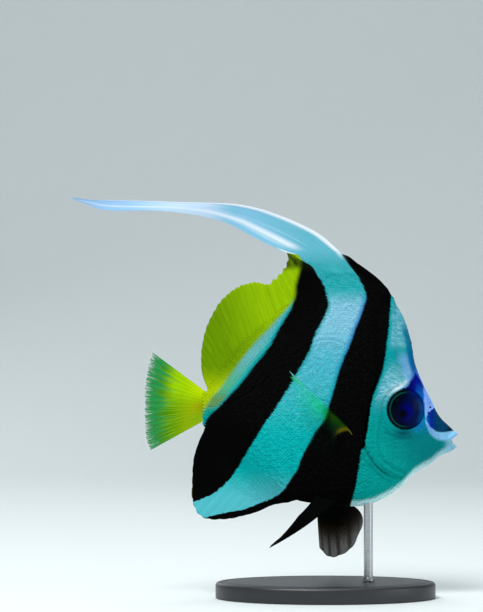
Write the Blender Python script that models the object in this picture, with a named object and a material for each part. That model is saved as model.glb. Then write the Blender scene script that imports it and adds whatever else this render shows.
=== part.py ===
# Pennant coralfish, life size, on a plain display stand
#
# The fish faces +X, its right flank faces -Y and up is +Z. The origin lies on the
# floor under the middle of the whole model. Places on the fish are given as
# (back, up): percent of the standard length behind the snout tip, and above it.

import math

import bmesh
import bpy
import numpy as np
from mathutils import Matrix, Vector

# Driving dimensions, in metres
STANDARD_LENGTH = 0.098
SNOUT_X = 0.0774
SNOUT_Z = 0.064
GAP = 0.0003
SEAM_HALF = 0.5 * GAP

# Body widths, in percent of the standard length
RIDGE_HALF = 1.1
WIDEST_HEIGHT = 0.42
ROUND_POWER, KEEN_POWER = 0.65, 1.05
BODY_HALF_WIDTHS = [(-1.0, 1.2), (1.0, 2.1), (4.0, 2.9), (8.0, 3.8), (12.0, 4.8), (16.0, 5.8), (22.0, 7.0),
                    (30.0, 8.4), (38.0, 9.3), (46.0, 9.6), (55.0, 9.2), (65.0, 8.0), (75.0, 6.4), (85.0, 4.8),
                    (95.0, 3.2), (102.0, 2.0), (105.0, 1.2)]

# Grid of each length of the body: stations along it and points up each flank
HEAD_STATIONS, TORSO_STATIONS, TAIL_STATIONS = 26, 22, 6
FLANK_POINTS = 23

# Outlines of the body in side view, snout to tail
FOREHEAD = [(0.3, 1.7), (2.0, 2.9), (4.5, 5.3), (7.3, 8.0), (9.4, 11.2), (11.6, 16.0), (14.7, 22.0), (18.0, 30.6),
            (19.6, 39.6), (22.4, 48.6), (25.7, 54.7), (27.3, 58.0)]
BACK_LINE = [(27.3, 58.0), (33.1, 60.4), (39.6, 60.8), (46.5, 59.6), (53.5, 56.3), (60.4, 51.0), (66.9, 44.5),
             (73.5, 38.0), (80.4, 31.4), (87.8, 25.3), (94.7, 20.8), (102.0, 18.9)]
CHIN = [(0.9, -3.6), (2.2, -4.7), (4.3, -5.8), (7.8, -7.3), (11.8, -10.6), (15.9, -12.9), (20.4, -16.5)]
BELLY = [(20.4, -16.5), (24.1, -20.4), (30.2, -24.3), (36.3, -26.9), (42.5, -27.9), (52.7, -27.3), (64.9, -25.7),
         (69.4, -22.9), (75.1, -18.8), (81.2, -13.1), (86.9, -7.3), (92.7, -1.2), (98.0, 3.6), (104.4, 6.0)]
GILL_EDGE = [(27.3, 58.0), (28.4, 48.2), (29.6, 39.6), (31.3, 29.8), (34.3, 20.0), (36.2, 11.0), (37.6, 2.0),
             (37.8, -3.3), (34.5, -9.0), (29.6, -13.5), (24.9, -15.9), (20.4, -16.5)]
TAIL_CUT = 96.0

# Eye and its socket
EYE_PLACE = (22.1, 11.8)
EYE_RADIUS = 0.0080
EYE_RIM_Y = 0.0063
EYE_BULGE = 0.0015
EYE_DEPTH = 0.0030
EYE_TURN = math.radians(12.0)

# Mouth and nostrils: the gape is a wedge from its corner to the two lips
MOUTH_CORNER = (3.7, -0.9)
UPPER_LIP_LINE = (-1.5, 1.9)
LOWER_LIP_LINE = (-1.5, -3.1)
LIP_SWELL = 0.45
NOSTRILS = [(11.9, 12.6), (12.8, 10.4)]
NOSTRIL_RADIUS = 0.00045
GILL_COVER_RISE = 0.45

# Fin thicknesses, half of each, in metres
RAY_HALF = 0.00046
MEMBRANE_HALF = 0.00028
SPINE_HALF = 0.0006
TIP_HALF = 0.00016

# Stand
BASE_CENTRE_X = 0.024
BASE_HALF_LENGTH = 0.044
BASE_HALF_WIDTH = 0.029
BASE_HEIGHT = 0.0065
BASE_ROUND = 0.0014
ROD_RADIUS = 0.0018
ROD_BACK = 37.0
ROD_DEPTH = 0.0045

PERCENT = STANDARD_LENGTH / 100.0


# Start from an empty scene
def clear_scene():
    for thing in list(bpy.data.objects):
        bpy.data.objects.remove(thing, do_unlink=True)


# Places and smooth lines
def place(back, up, y=0.0):
    return Vector((SNOUT_X - back * PERCENT, y, SNOUT_Z + up * PERCENT))


def spline(keys, t):
    """Catmull-Rom curve through the keys; t runs from 0 at the first key to 1 at the last."""
    keys = np.asarray(keys, dtype=float)
    last = len(keys) - 1
    s = min(max(t, 0.0), 1.0) * last
    i = min(int(s), last - 1)
    f = s - i
    before = keys[i - 1] if i > 0 else 2 * keys[0] - keys[1]
    after = keys[i + 2] if i + 2 <= last else 2 * keys[last] - keys[last - 1]
    a, b = keys[i], keys[i + 1]
    return 0.5 * (2 * a + (b - before) * f + (2 * before - 5 * a + 4 * b - after) * f ** 2
                  + (3 * a - before - 3 * b + after) * f ** 3)


class Line:
    """A smooth line through points, read by its length or by its distance back."""

    def __init__(self, points):
        steps = 12 * (len(points) - 1)
        self.points = np.array([spline(points, i / steps) for i in range(steps + 1)])
        lengths = np.linalg.norm(np.diff(self.points, axis=0), axis=1)
        self.run = np.concatenate([[0.0], np.cumsum(lengths)])

    def along(self, t):
        at = t * self.run[-1]
        return np.array([np.interp(at, self.run, self.points[:, axis]) for axis in (0, 1)])

    def up_at(self, back):
        return float(np.interp(back, self.points[:, 0], self.points[:, 1]))


TOP = Line(FOREHEAD + BACK_LINE[1:])
BOTTOM = Line(CHIN + BELLY[1:])
FOREHEAD_LINE = Line(FOREHEAD)
BACK = Line(BACK_LINE)
CHIN_LINE = Line(CHIN)
BELLY_LINE = Line(BELLY)
GILL_LINE = Line(GILL_EDGE[::-1])


def smooth_step(value):
    value = min(max(value, 0.0), 1.0)
    return value * value * (3.0 - 2.0 * value)


# Half width of the body, in percent, at any place on its side view
def half_width(back, up):
    backs = [b for b, _ in BODY_HALF_WIDTHS]
    widths = [w for _, w in BODY_HALF_WIDTHS]
    widest = float(np.interp(back, backs, widths))
    low, high = BOTTOM.up_at(back), TOP.up_at(back)
    height = min(max((up - low) / max(high - low, 0.01), 0.0), 1.0)
    if height > WIDEST_HEIGHT:
        reach = (height - WIDEST_HEIGHT) / (1.0 - WIDEST_HEIGHT)
        keen = smooth_step((back - 24.0) / 10.0)
    else:
        reach = (WIDEST_HEIGHT - height) / WIDEST_HEIGHT
        keen = smooth_step((back - 52.0) / 20.0)
    section = (1.0 - reach ** (2.3 - 0.4 * keen)) ** (ROUND_POWER + (KEEN_POWER - ROUND_POWER) * keen)
    edge = min(RIDGE_HALF, 0.6 * widest)
    return edge + (widest - edge) * section


# Raised forms of the head: lips and the free edge of the gill cover
def lip_swelling(back, up):
    along = max((MOUTH_CORNER[0] - back) / (MOUTH_CORNER[0] - UPPER_LIP_LINE[0]), 0.0)
    upper = MOUTH_CORNER[1] + along * (UPPER_LIP_LINE[1] - MOUTH_CORNER[1])
    lower = MOUTH_CORNER[1] + along * (LOWER_LIP_LINE[1] - MOUTH_CORNER[1])
    beside = min(abs(up - upper - 0.4), abs(up - lower + 0.4))
    behind = smooth_step(1.0 - (back - 3.5) / 2.5)
    return LIP_SWELL * math.exp(-(beside / 0.9) ** 2) * behind


def gill_cover_rise(to_edge, up):
    near = smooth_step(1.0 - to_edge)
    tall = smooth_step((44.0 - up) / 14.0) * smooth_step((up + 17.0) / 6.0)
    return GILL_COVER_RISE * near * tall


# Side-view place of a point of the body's grid, part 0 head, 1 torso, 2 tail
def gill_bow(v):
    v = min(max(v, 0.0), 1.0)
    foot, top = GILL_LINE.points[0], GILL_LINE.points[-1]
    up = foot[1] + v * (top[1] - foot[1])
    back = float(np.interp(up, GILL_LINE.points[:, 1], GILL_LINE.points[:, 0]))
    return back - (foot[0] + v * (top[0] - foot[0]))


def station_point(part, k, v):
    if part == 0:
        top = FOREHEAD_LINE.along(k)
        foot = CHIN_LINE.along(k)
        bow = smooth_step((k - 0.35) / 0.65)
    else:
        top_cut, foot_cut = cut_fraction(BACK), cut_fraction(BELLY_LINE)
        if part == 1:
            top, foot = BACK.along(k * top_cut), BELLY_LINE.along(k * foot_cut)
            bow = smooth_step(1.0 - k / 0.45)
        else:
            top = BACK.along(top_cut + k * (1.0 - top_cut))
            foot = BELLY_LINE.along(foot_cut + k * (1.0 - foot_cut))
            bow = 0.0
    point = foot + v * (top - foot)
    return np.array([point[0] + bow * gill_bow(v), point[1]])


def cut_fraction(line):
    return float(np.interp(TAIL_CUT, line.points[:, 0], line.run)) / line.run[-1]


# Mesh helpers
def closed_object(name, verts, faces, smooth=True):
    mesh = bpy.data.meshes.new(name)
    mesh.from_pydata([tuple(v) for v in verts], [], faces)
    work = bmesh.new()
    work.from_mesh(mesh)
    bmesh.ops.remove_doubles(work, verts=work.verts, dist=1e-7)
    bmesh.ops.dissolve_degenerate(work, edges=work.edges, dist=1e-7)
    bmesh.ops.recalc_face_normals(work, faces=work.faces)
    work.to_mesh(mesh)
    work.free()
    if smooth:
        mesh.shade_smooth()
        mesh.set_sharp_from_angle(angle=math.radians(50.0))
    thing = bpy.data.objects.new(name, mesh)
    bpy.context.scene.collection.objects.link(thing)
    return thing


def paint(thing, name, colour, roughness, metallic=0.0):
    material = bpy.data.materials.get(name)
    if material is None:
        material = bpy.data.materials.new(name)
        material.use_nodes = True
        shader = material.node_tree.nodes["Principled BSDF"]
        shader.inputs["Base Color"].default_value = (*colour, 1.0)
        shader.inputs["Roughness"].default_value = roughness
        shader.inputs["Metallic"].default_value = metallic
    thing.data.materials.clear()
    thing.data.materials.append(material)


def two_sided(name, sides, rows, columns):
    """Closed body from two facing grids of points, split into triangles alike on both."""
    verts = [point for side in sides for row in side for point in row]

    def index(side, r, c):
        return side * rows * columns + r * columns + c

    faces = []
    for r in range(rows - 1):
        for c in range(columns - 1):
            for side in (0, 1):
                a, b = index(side, r, c), index(side, r, c + 1)
                d, e = index(side, r + 1, c), index(side, r + 1, c + 1)
                faces += [(a, b, e), (a, e, d)] if side else [(a, e, b), (a, d, e)]
    rim = [(r, 0) for r in range(rows)] + [(rows - 1, c) for c in range(1, columns)]
    rim += [(r, columns - 1) for r in range(rows - 2, -1, -1)] + [(0, c) for c in range(columns - 2, 0, -1)]
    for i, here in enumerate(rim):
        there = rim[(i + 1) % len(rim)]
        a, b = index(0, *here), index(0, *there)
        c, d = index(1, *there), index(1, *here)
        faces += [(a, b, c), (a, c, d)]
    return closed_object(name, verts, faces)


def keep_largest(thing):
    """Keep only the largest closed surface of a mesh."""
    work = bmesh.new()
    work.from_mesh(thing.data)
    left = set(work.faces)
    groups = []
    while left:
        seed = left.pop()
        group, front = [seed], [seed]
        while front:
            face = front.pop()
            for edge in face.edges:
                for other in edge.link_faces:
                    if other in left:
                        left.discard(other)
                        group.append(other)
                        front.append(other)
        groups.append(group)
    groups.sort(key=lambda faces: sum(face.calc_area() for face in faces), reverse=True)
    loose = [face for group in groups[1:] for face in group]
    if loose:
        bmesh.ops.delete(work, geom=loose, context="FACES")
    work.to_mesh(thing.data)
    work.free()


def cut_away(thing, cutters):
    """Cut closed shapes out of a body with one Boolean, and clear the cutters away."""
    group = bpy.data.collections.new(thing.name + "_cutters")
    bpy.context.scene.collection.children.link(group)
    for cutter in cutters:
        bpy.context.scene.collection.objects.unlink(cutter)
        group.objects.link(cutter)
        cutter.hide_render = True
        cutter.display_type = "WIRE"
    boolean = thing.modifiers.new("cut", "BOOLEAN")
    boolean.operation = "DIFFERENCE"
    boolean.operand_type = "COLLECTION"
    boolean.collection = group
    boolean.solver = "EXACT"
    graph = bpy.context.evaluated_depsgraph_get()
    mesh = bpy.data.meshes.new_from_object(thing.evaluated_get(graph))
    thing.modifiers.clear()
    old = thing.data
    thing.data = mesh
    bpy.data.meshes.remove(old)
    mesh.name = thing.name
    for cutter in cutters:
        bpy.data.objects.remove(cutter, do_unlink=True)
    bpy.data.collections.remove(group)
    keep_largest(thing)


def turned(name, profile, sides, matrix):
    """Closed turned body about local Z from (radius, height) points; the end radii are zero."""
    verts, faces = [], []
    for radius, height in profile:
        for i in range(sides if radius > 0.0 else 1):
            angle = 2.0 * math.pi * i / sides
            verts.append(matrix @ Vector((radius * math.cos(angle), radius * math.sin(angle), height)))
    start = 0
    for (r0, _), (r1, _) in zip(profile, profile[1:]):
        step = sides if r0 > 0.0 else 1
        after = start + step
        for i in range(sides):
            j = (i + 1) % sides
            if r0 == 0.0:
                faces.append((start, after + i, after + j))
            elif r1 == 0.0:
                faces.append((start + i, after, start + j))
            else:
                faces.append((start + i, after + i, after + j, start + j))
        start = after
    return closed_object(name, verts, faces)


# Lengths of the body
def body_length(name, part, stations):
    heights = [0.5 - 0.5 * math.cos(math.pi * i / (FLANK_POINTS - 1)) for i in range(FLANK_POINTS)]
    seam = SEAM_HALF / PERCENT
    rows = []
    for i in range(stations):
        k = i / (stations - 1)
        if part == 0:
            k = k ** 1.25
        line = np.array([station_point(part, k, v) for v in heights])
        tangent = np.gradient(line, axis=0)
        normal = np.stack([tangent[:, 1], -tangent[:, 0]], axis=1)
        normal /= np.linalg.norm(normal, axis=1)[:, None]
        if i == 0 and part > 0:
            line = line + seam * normal
        if i == stations - 1 and part < 2:
            line = line - seam * normal
        rows.append(line)
    edge = rows[-1]
    sides = [[], []]
    for line in rows:
        flank = []
        for back, up in line:
            y = half_width(back, up)
            if part == 0:
                y += lip_swelling(back, up)
                to_edge = float(np.min(np.hypot(edge[:, 0] - back, edge[:, 1] - up))) / 6.0
                y += gill_cover_rise(to_edge, up)
            flank.append((back, up, y * PERCENT))
        sides[0].append([place(b, u, -y) for b, u, y in flank])
        sides[1].append([place(b, u, y) for b, u, y in flank])
    return two_sided(name, sides, len(rows), FLANK_POINTS)


def eye_frame(side):
    """Frame of an eye: local +Z looks out of the head; side -1 is the right eye."""
    look = Vector((math.sin(EYE_TURN), side * math.cos(EYE_TURN), 0.0))
    up = Vector((0.0, 0.0, 1.0))
    across = up.cross(look).normalized()
    turn = Matrix((across, look.cross(across), look)).transposed()
    return Matrix.Translation(place(*EYE_PLACE, side * EYE_RIM_Y)) @ turn.to_4x4()


def build_eye(name, side):
    dome = 7
    profile = [(0.0, EYE_BULGE)]
    for i in range(1, dome + 1):
        angle = 0.5 * math.pi * i / dome
        profile.append((EYE_RADIUS * math.sin(angle), EYE_BULGE * math.cos(angle)))
    profile += [(EYE_RADIUS, -0.6 * EYE_DEPTH), (0.8 * EYE_RADIUS, -EYE_DEPTH), (0.0, -EYE_DEPTH)]
    eye = turned(name, profile, 28, eye_frame(side))
    paint(eye, "eye_gloss", (0.004, 0.008, 0.02), 0.08)


def build_head():
    head = body_length("head", 0, HEAD_STATIONS)
    cutters = []
    wide = EYE_RADIUS + GAP
    deep = EYE_DEPTH + GAP
    for side in (-1, 1):
        profile = [(0.0, 0.012), (wide, 0.012), (wide, -0.6 * deep), (0.8 * wide, -deep), (0.0, -deep)]
        cutters.append(turned("socket", profile, 28, eye_frame(side)))
        for back, up in NOSTRILS:
            y = side * half_width(back, up) * PERCENT
            lean = Matrix.Translation(place(back, up, y)) @ Matrix.Rotation(math.radians(-90.0 * side), 4, "X")
            profile = [(0.0, 0.002), (NOSTRIL_RADIUS, 0.002), (NOSTRIL_RADIUS, -0.0006), (0.0, -0.0006)]
            cutters.append(turned("nostril", profile, 8, lean))
    wedge = [place(*point, y) for y in (-0.008, 0.008) for point in (MOUTH_CORNER, LOWER_LIP_LINE, UPPER_LIP_LINE)]
    cutters.append(closed_object("mouth", wedge, [(0, 1, 2), (5, 4, 3), (0, 3, 4, 1), (1, 4, 5, 2), (2, 5, 3, 0)],
                                 smooth=False))
    cut_away(head, cutters)
    paint(head, "scaled_skin", (0.03, 0.32, 0.36), 0.4)


def build_torso():
    torso = body_length("torso", 1, TORSO_STATIONS)
    foot = place(ROD_BACK, BOTTOM.up_at(ROD_BACK))
    wide = ROD_RADIUS + GAP
    top = foot.z + ROD_DEPTH + GAP
    profile = [(0.0, top), (wide, top), (wide, foot.z - 0.006), (0.0, foot.z - 0.006)]
    cut_away(torso, [turned("rod_hole", profile, 20, Matrix.Translation((foot.x, 0.0, 0.0)))])
    paint(torso, "scaled_skin", (0.03, 0.32, 0.36), 0.4)


def build_tail_base():
    paint(body_length("tail_base", 2, TAIL_STATIONS), "fin_yellow", (0.35, 0.5, 0.0), 0.4)


# Fins: plates of rays and membrane
def ray_point(keys, u, v):
    """Point on a bent ray; each key holds the ray's root, middle and tip as (back, up, y)."""
    root, middle, tip = (spline([key[i] for key in keys], u) for i in range(3))
    return (1 - v) ** 2 * root + 2 * v * (1 - v) * middle + v ** 2 * tip


def fin_plate(name, centre, columns, rows):
    """Closed fin of rays raised from their membrane.

    centre(u, v) gives its middle surface; each column is (u, reach, half thickness).
    """
    grid = [[centre(u, reach * r / (rows - 1)) for r in range(rows)] for u, reach, _ in columns]
    last = len(columns) - 1
    sides = [[], []]
    for c, (_, _, stout) in enumerate(columns):
        pair = ([], [])
        for r in range(rows):
            along = grid[c][min(r + 1, rows - 1)] - grid[c][max(r - 1, 0)]
            across = grid[min(c + 1, last)][r] - grid[max(c - 1, 0)][r]
            normal = along.cross(across).normalized()
            half = stout + (MEMBRANE_HALF - stout) * 0.6 * r / (rows - 1)
            if r == rows - 1:
                half = TIP_HALF
            pair[0].append(grid[c][r] - half * normal)
            pair[1].append(grid[c][r] + half * normal)
        sides[0].append(pair[0])
        sides[1].append(pair[1])
    return two_sided(name, sides, len(columns), rows)


def ray_columns(rays, spines=0, notch=0.04, spine_notch=0.1):
    """Columns of a fin with a membrane column between each two rays; the first rays may be spines."""
    columns = []
    for c in range(2 * rays - 1):
        u = c / (2 * rays - 2)
        if c % 2 == 0:
            columns.append((u, 1.0, SPINE_HALF if c < 2 * spines else RAY_HALF))
        else:
            columns.append((u, 1.0 - (spine_notch if c < 2 * spines else notch), MEMBRANE_HALF))
    return columns


def median_fin(name, pairs, rays, rows, wave=0.0, **more):
    """Soft-rayed fin on the midline; each pair is a ray's root and tip as (back, up)."""
    keys = []
    for root, tip in pairs:
        middle = [(a + b) / 2 for a, b in zip(root, tip)]
        keys.append((root, middle, tip))

    def centre(u, v):
        back, up = ray_point(keys, u, v)
        return place(back, up, wave * math.sin(7.0 * u + 1.5 * v) * v * v)

    return fin_plate(name, centre, ray_columns(rays, **more), rows)


def on_ridge(line, back, side):
    """Place on the back (side 1) or belly (side -1) line, clear of it by the gap."""
    return (back, line.up_at(back) + side * 1.15 * GAP / PERCENT)


SPINES = [(27.9, (30.0, 61.0)), (30.6, (33.6, 65.3)), (34.4, (40.8, 71.0)), (39.5, (48.4, 75.3)),
          (46.5, (65.6, 74.2)), (52.0, (70.2, 75.1)), (56.8, (70.4, 71.6)), (60.8, (71.8, 69.2)),
          (64.2, (73.7, 66.9)), (67.4, (75.9, 64.9)), (70.8, (78.4, 62.9))]
PENNANT_SPINE = 3
SOFT_DORSAL_RAYS = [(71.1, (78.8, 62.9)), (75.0, (84.1, 63.8)), (80.0, (90.0, 61.9)), (85.0, (96.4, 57.2)),
                    (90.0, (102.0, 48.3)), (94.5, (105.0, 37.5)), (98.5, (105.0, 27.0)), (101.2, (102.6, 20.4))]
ANAL_RAYS = [(66.2, (71.5, -26.3)), (68.2, (77.1, -27.8)), (70.5, (82.4, -30.2)), (74.0, (88.4, -31.9)),
             (79.0, (95.5, -33.1)), (84.0, (103.4, -32.4)), (88.5, (107.3, -27.0)), (92.5, (107.8, -17.5)),
             (96.0, (107.1, -8.0)), (99.5, (105.3, -1.0)), (102.4, (103.6, 3.4))]
CAUDAL_RAYS = [((102.4, 18.2), (125.3, 35.1)), ((102.8, 16.2), (127.6, 26.0)), ((103.2, 13.9), (128.4, 16.5)),
               ((103.7, 11.4), (128.4, 7.5)), ((104.2, 9.0), (127.8, 0.2)), ((104.7, 6.7), (126.3, -5.2))]
PENNANT_TOP = [(48.5, 75.9), (56.7, 82.0), (64.9, 86.1), (73.1, 89.8), (81.2, 92.9), (89.4, 94.7), (97.6, 95.9),
               (115.9, 96.5), (138.4, 97.2), (158.0, 98.3)]
PENNANT_LOW = [(65.8, 74.8), (71.0, 75.9), (79.2, 79.6), (87.3, 83.7), (94.3, 87.6), (105.7, 90.2), (122.0, 92.5),
               (139.2, 92.7), (151.4, 94.4), (158.0, 97.5)]


def build_spinous_fin():
    """Eleven spines with the membrane cut straight across under the pennant."""
    roots = [on_ridge(TOP, back, 1) for back, _ in SPINES]
    tips = [tip for _, tip in SPINES]
    marks = range(len(SPINES))
    columns = []
    for i in marks:
        columns.append((i, 1.0, SPINE_HALF))
        if i == PENNANT_SPINE:
            columns += [(i + step, 1.0, MEMBRANE_HALF) for step in (0.25, 0.5, 0.75)]
        elif i + 1 < len(SPINES):
            columns.append((i + 0.5, 0.93, MEMBRANE_HALF))

    def centre(u, v):
        root = [np.interp(u, marks, [point[axis] for point in roots]) for axis in (0, 1)]
        root[1] = on_ridge(TOP, root[0], 1)[1]
        tip = [np.interp(u, marks, [point[axis] for point in tips]) for axis in (0, 1)]
        return place(root[0] + v * (tip[0] - root[0]), root[1] + v * (tip[1] - root[1]))

    paint(fin_plate("spinous_dorsal_fin", centre, columns, 7), "fin_black", (0.01, 0.012, 0.015), 0.5)


def build_median_fins():
    fin = median_fin("soft_dorsal_fin", [(on_ridge(TOP, b, 1), tip) for b, tip in SOFT_DORSAL_RAYS], 24, 8,
                     wave=0.0008, notch=0.02)
    paint(fin, "fin_yellow", (0.35, 0.5, 0.0), 0.4)
    fin = median_fin("anal_fin", [(on_ridge(BOTTOM, b, -1), tip) for b, tip in ANAL_RAYS], 21, 7,
                     wave=0.0006, spines=3, notch=0.02, spine_notch=0.1)
    paint(fin, "fin_black", (0.01, 0.012, 0.015), 0.5)
    fin = median_fin("caudal_fin", CAUDAL_RAYS, 17, 8, wave=0.0007, notch=0.05)
    paint(fin, "fin_yellow", (0.35, 0.5, 0.0), 0.4)


def build_pennant():
    top, low = Line(PENNANT_TOP), Line(PENNANT_LOW)

    def centre(u, v):
        back, up = top.along(v) * (1 - u) + low.along(v) * u
        sway = 0.0030 * math.sin(3.4 * v) * v + 0.0016 * math.sin(9.0 * v) * v
        curl = 0.0022 * math.sin(6.0 * v) * (u - 0.5) * math.sin(math.pi * v)
        return place(back, up, sway + curl)

    columns = [(0.0, 1.0, SPINE_HALF), (0.12, 1.0, MEMBRANE_HALF), (0.36, 1.0, RAY_HALF),
               (0.52, 1.0, MEMBRANE_HALF), (0.7, 1.0, RAY_HALF), (0.85, 1.0, MEMBRANE_HALF), (1.0, 1.0, RAY_HALF)]
    fin = fin_plate("pennant", centre, columns, 34)
    paint(fin, "pennant_white", (0.6, 0.75, 0.9), 0.45)


# Paired fins: each key holds root, middle and tip of a ray
PECTORAL_RAYS = [((44.2, 2.4), (48.5, 9.0), (69.5, 27.8), 8.5), ((45.1, 1.9), (50.0, 7.4), (68.3, 20.5), 9.0),
                 ((46.0, 1.3), (51.2, 5.0), (66.4, 12.0), 9.2), ((46.9, 0.8), (51.8, 2.4), (63.9, 4.0), 9.0),
                 ((47.8, 0.3), (51.6, -0.4), (61.5, -2.5), 8.6), ((48.6, -0.4), (51.0, -2.8), (58.8, -7.6), 8.0)]
PECTORAL_SPREAD = 4.5
PELVIC_ROOT_Y = 3.0
NEAR_PELVIC_RAYS = [(50.6, (59.0, -34.8, 3.6), (77.6, -44.5, 6.0)), (52.8, (60.0, -33.5, 3.8), (76.6, -43.1, 6.3)),
                    (55.0, (61.0, -32.0, 3.9), (72.6, -39.6, 6.4)), (57.0, (61.8, -30.0, 3.8), (69.0, -35.6, 6.0)),
                    (58.6, (62.4, -28.6, 3.6), (65.6, -31.4, 5.0))]
FAR_PELVIC_RAYS = [(50.6, (41.0, -28.8, 9.0), (42.0, -34.8, 25.0)), (52.6, (48.0, -30.5, 9.5), (47.2, -38.5, 24.5)),
                   (54.6, (53.0, -31.5, 9.0), (52.0, -39.8, 22.5)), (56.4, (56.0, -31.0, 8.0), (55.6, -38.6, 19.0)),
                   (58.2, (58.4, -30.0, 6.5), (58.4, -35.6, 13.5))]


def build_pectoral(name, side):
    keys = []
    for root, middle, tip, out in PECTORAL_RAYS:
        skin = half_width(*root) + 1.3 * GAP / PERCENT
        spread = (skin, skin + PECTORAL_SPREAD, skin + out)
        keys.append([(*point, side * y) for point, y in zip((root, middle, tip), spread)])

    def centre(u, v):
        back, up, y = ray_point(keys, u, v)
        return place(back, up, y * PERCENT)

    fin = fin_plate(name, centre, ray_columns(15, notch=0.05), 7)
    paint(fin, "fin_clear_yellow", (0.45, 0.55, 0.15), 0.3)


def belly_up_at(back, y):
    """Height of the body's underside at a distance y from the midline, in percent."""
    low, high = BOTTOM.up_at(back), 0.0
    for _ in range(30):
        middle = 0.5 * (low + high)
        if half_width(back, middle) < y:
            low = middle
        else:
            high = middle
    return low


def build_pelvic(name, side, rays):
    keys = []
    for back, middle, tip in rays:
        root = (back, belly_up_at(back, PELVIC_ROOT_Y) - 2.2 * GAP / PERCENT, side * PELVIC_ROOT_Y)
        keys.append((root, (*middle[:2], side * middle[2]), (*tip[:2], side * tip[2])))

    def centre(u, v):
        back, up, y = ray_point(keys, u, v)
        return place(back, up, y * PERCENT)

    fin = fin_plate(name, centre, ray_columns(6, spines=1), 8)
    paint(fin, "fin_black", (0.01, 0.012, 0.015), 0.5)


# Display stand
def build_stand():
    verts, faces = [], []
    rings = [(0.0, BASE_ROUND * 0.4), (BASE_ROUND * 0.4, 0.0), (BASE_HEIGHT - BASE_ROUND, 0.0),
             (BASE_HEIGHT - 0.35 * BASE_ROUND, 0.3 * BASE_ROUND), (BASE_HEIGHT, BASE_ROUND)]
    sides = 48
    for z, inset in rings:
        for i in range(sides):
            angle = 2.0 * math.pi * i / sides
            verts.append((BASE_CENTRE_X + (BASE_HALF_LENGTH - inset) * math.cos(angle),
                          (BASE_HALF_WIDTH - inset) * math.sin(angle), z))
    for ring in range(len(rings) - 1):
        for i in range(sides):
            j = (i + 1) % sides
            a, b = ring * sides + i, ring * sides + j
            faces.append((a, b, b + sides, a + sides))
    faces.append(tuple(range(sides))[::-1])
    last = (len(rings) - 1) * sides
    faces.append(tuple(range(last, last + sides)))
    base = closed_object("stand_base", verts, faces)
    paint(base, "stand_black", (0.02, 0.02, 0.022), 0.4)

    foot = place(ROD_BACK, BOTTOM.up_at(ROD_BACK))
    low, high = BASE_HEIGHT + GAP, foot.z + ROD_DEPTH
    edge = 0.0004
    profile = [(0.0, high), (ROD_RADIUS - edge, high), (ROD_RADIUS, high - edge), (ROD_RADIUS, low), (0.0, low)]
    rod = turned("stand_rod", profile, 20, Matrix.Translation((foot.x, 0.0, 0.0)))
    paint(rod, "stand_steel", (0.6, 0.6, 0.62), 0.25, 1.0)


def main():
    clear_scene()
    build_head()
    build_torso()
    build_tail_base()
    build_eye("eye_right", -1)
    build_eye("eye_left", 1)
    build_spinous_fin()
    build_median_fins()
    build_pennant()
    build_pectoral("pectoral_fin_right", -1)
    build_pectoral("pectoral_fin_left", 1)
    build_pelvic("pelvic_fin_right", -1, NEAR_PELVIC_RAYS)
    build_pelvic("pelvic_fin_left", 1, FAR_PELVIC_RAYS)
    build_stand()


main()
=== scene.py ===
"""Pennant coralfish on its display stand: skin, scales, fins, eyes, stand and studio.

Places on the fish are (back, up): percent of the standard length behind the snout tip, and above it.
The right flank faces -Y, so side -1 is the right and side 1 the left.
"""

import math

import bmesh
import bpy
import numpy as np
from bpy.props import FloatProperty, FloatVectorProperty, IntProperty, PointerProperty
from mathutils import Matrix, Vector


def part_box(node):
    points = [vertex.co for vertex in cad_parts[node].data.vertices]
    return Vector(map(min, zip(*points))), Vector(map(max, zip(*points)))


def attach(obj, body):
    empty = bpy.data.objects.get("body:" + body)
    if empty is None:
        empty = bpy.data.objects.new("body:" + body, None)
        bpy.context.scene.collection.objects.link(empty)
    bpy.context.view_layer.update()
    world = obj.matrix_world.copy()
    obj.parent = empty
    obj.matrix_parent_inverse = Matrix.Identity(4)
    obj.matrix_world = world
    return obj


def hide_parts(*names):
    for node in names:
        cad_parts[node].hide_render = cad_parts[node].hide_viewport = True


bl_info = {
    "name": "Pennant coralfish",
    "version": (1, 0, 0),
    "blender": (4, 5, 0),
    "location": "View3D > Sidebar > Coralfish",
    "description": "Builds a life-size pennant coralfish on a plain display stand",
    "category": "Add Mesh",
}

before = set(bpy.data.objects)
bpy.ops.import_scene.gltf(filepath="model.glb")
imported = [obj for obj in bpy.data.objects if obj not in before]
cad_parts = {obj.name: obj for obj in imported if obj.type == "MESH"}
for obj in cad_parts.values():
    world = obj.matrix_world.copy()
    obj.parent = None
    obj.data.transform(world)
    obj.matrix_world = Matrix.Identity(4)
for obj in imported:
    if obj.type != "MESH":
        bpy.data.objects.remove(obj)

# Scale and place of the fish, in metres
PERCENT = 0.00098
SNOUT_X = 0.0774
SNOUT_Z = 0.064
MM = 0.001 / PERCENT

# Points of the skin nearer to each other than this are one point, in metres
WELD = 2e-7

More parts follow.
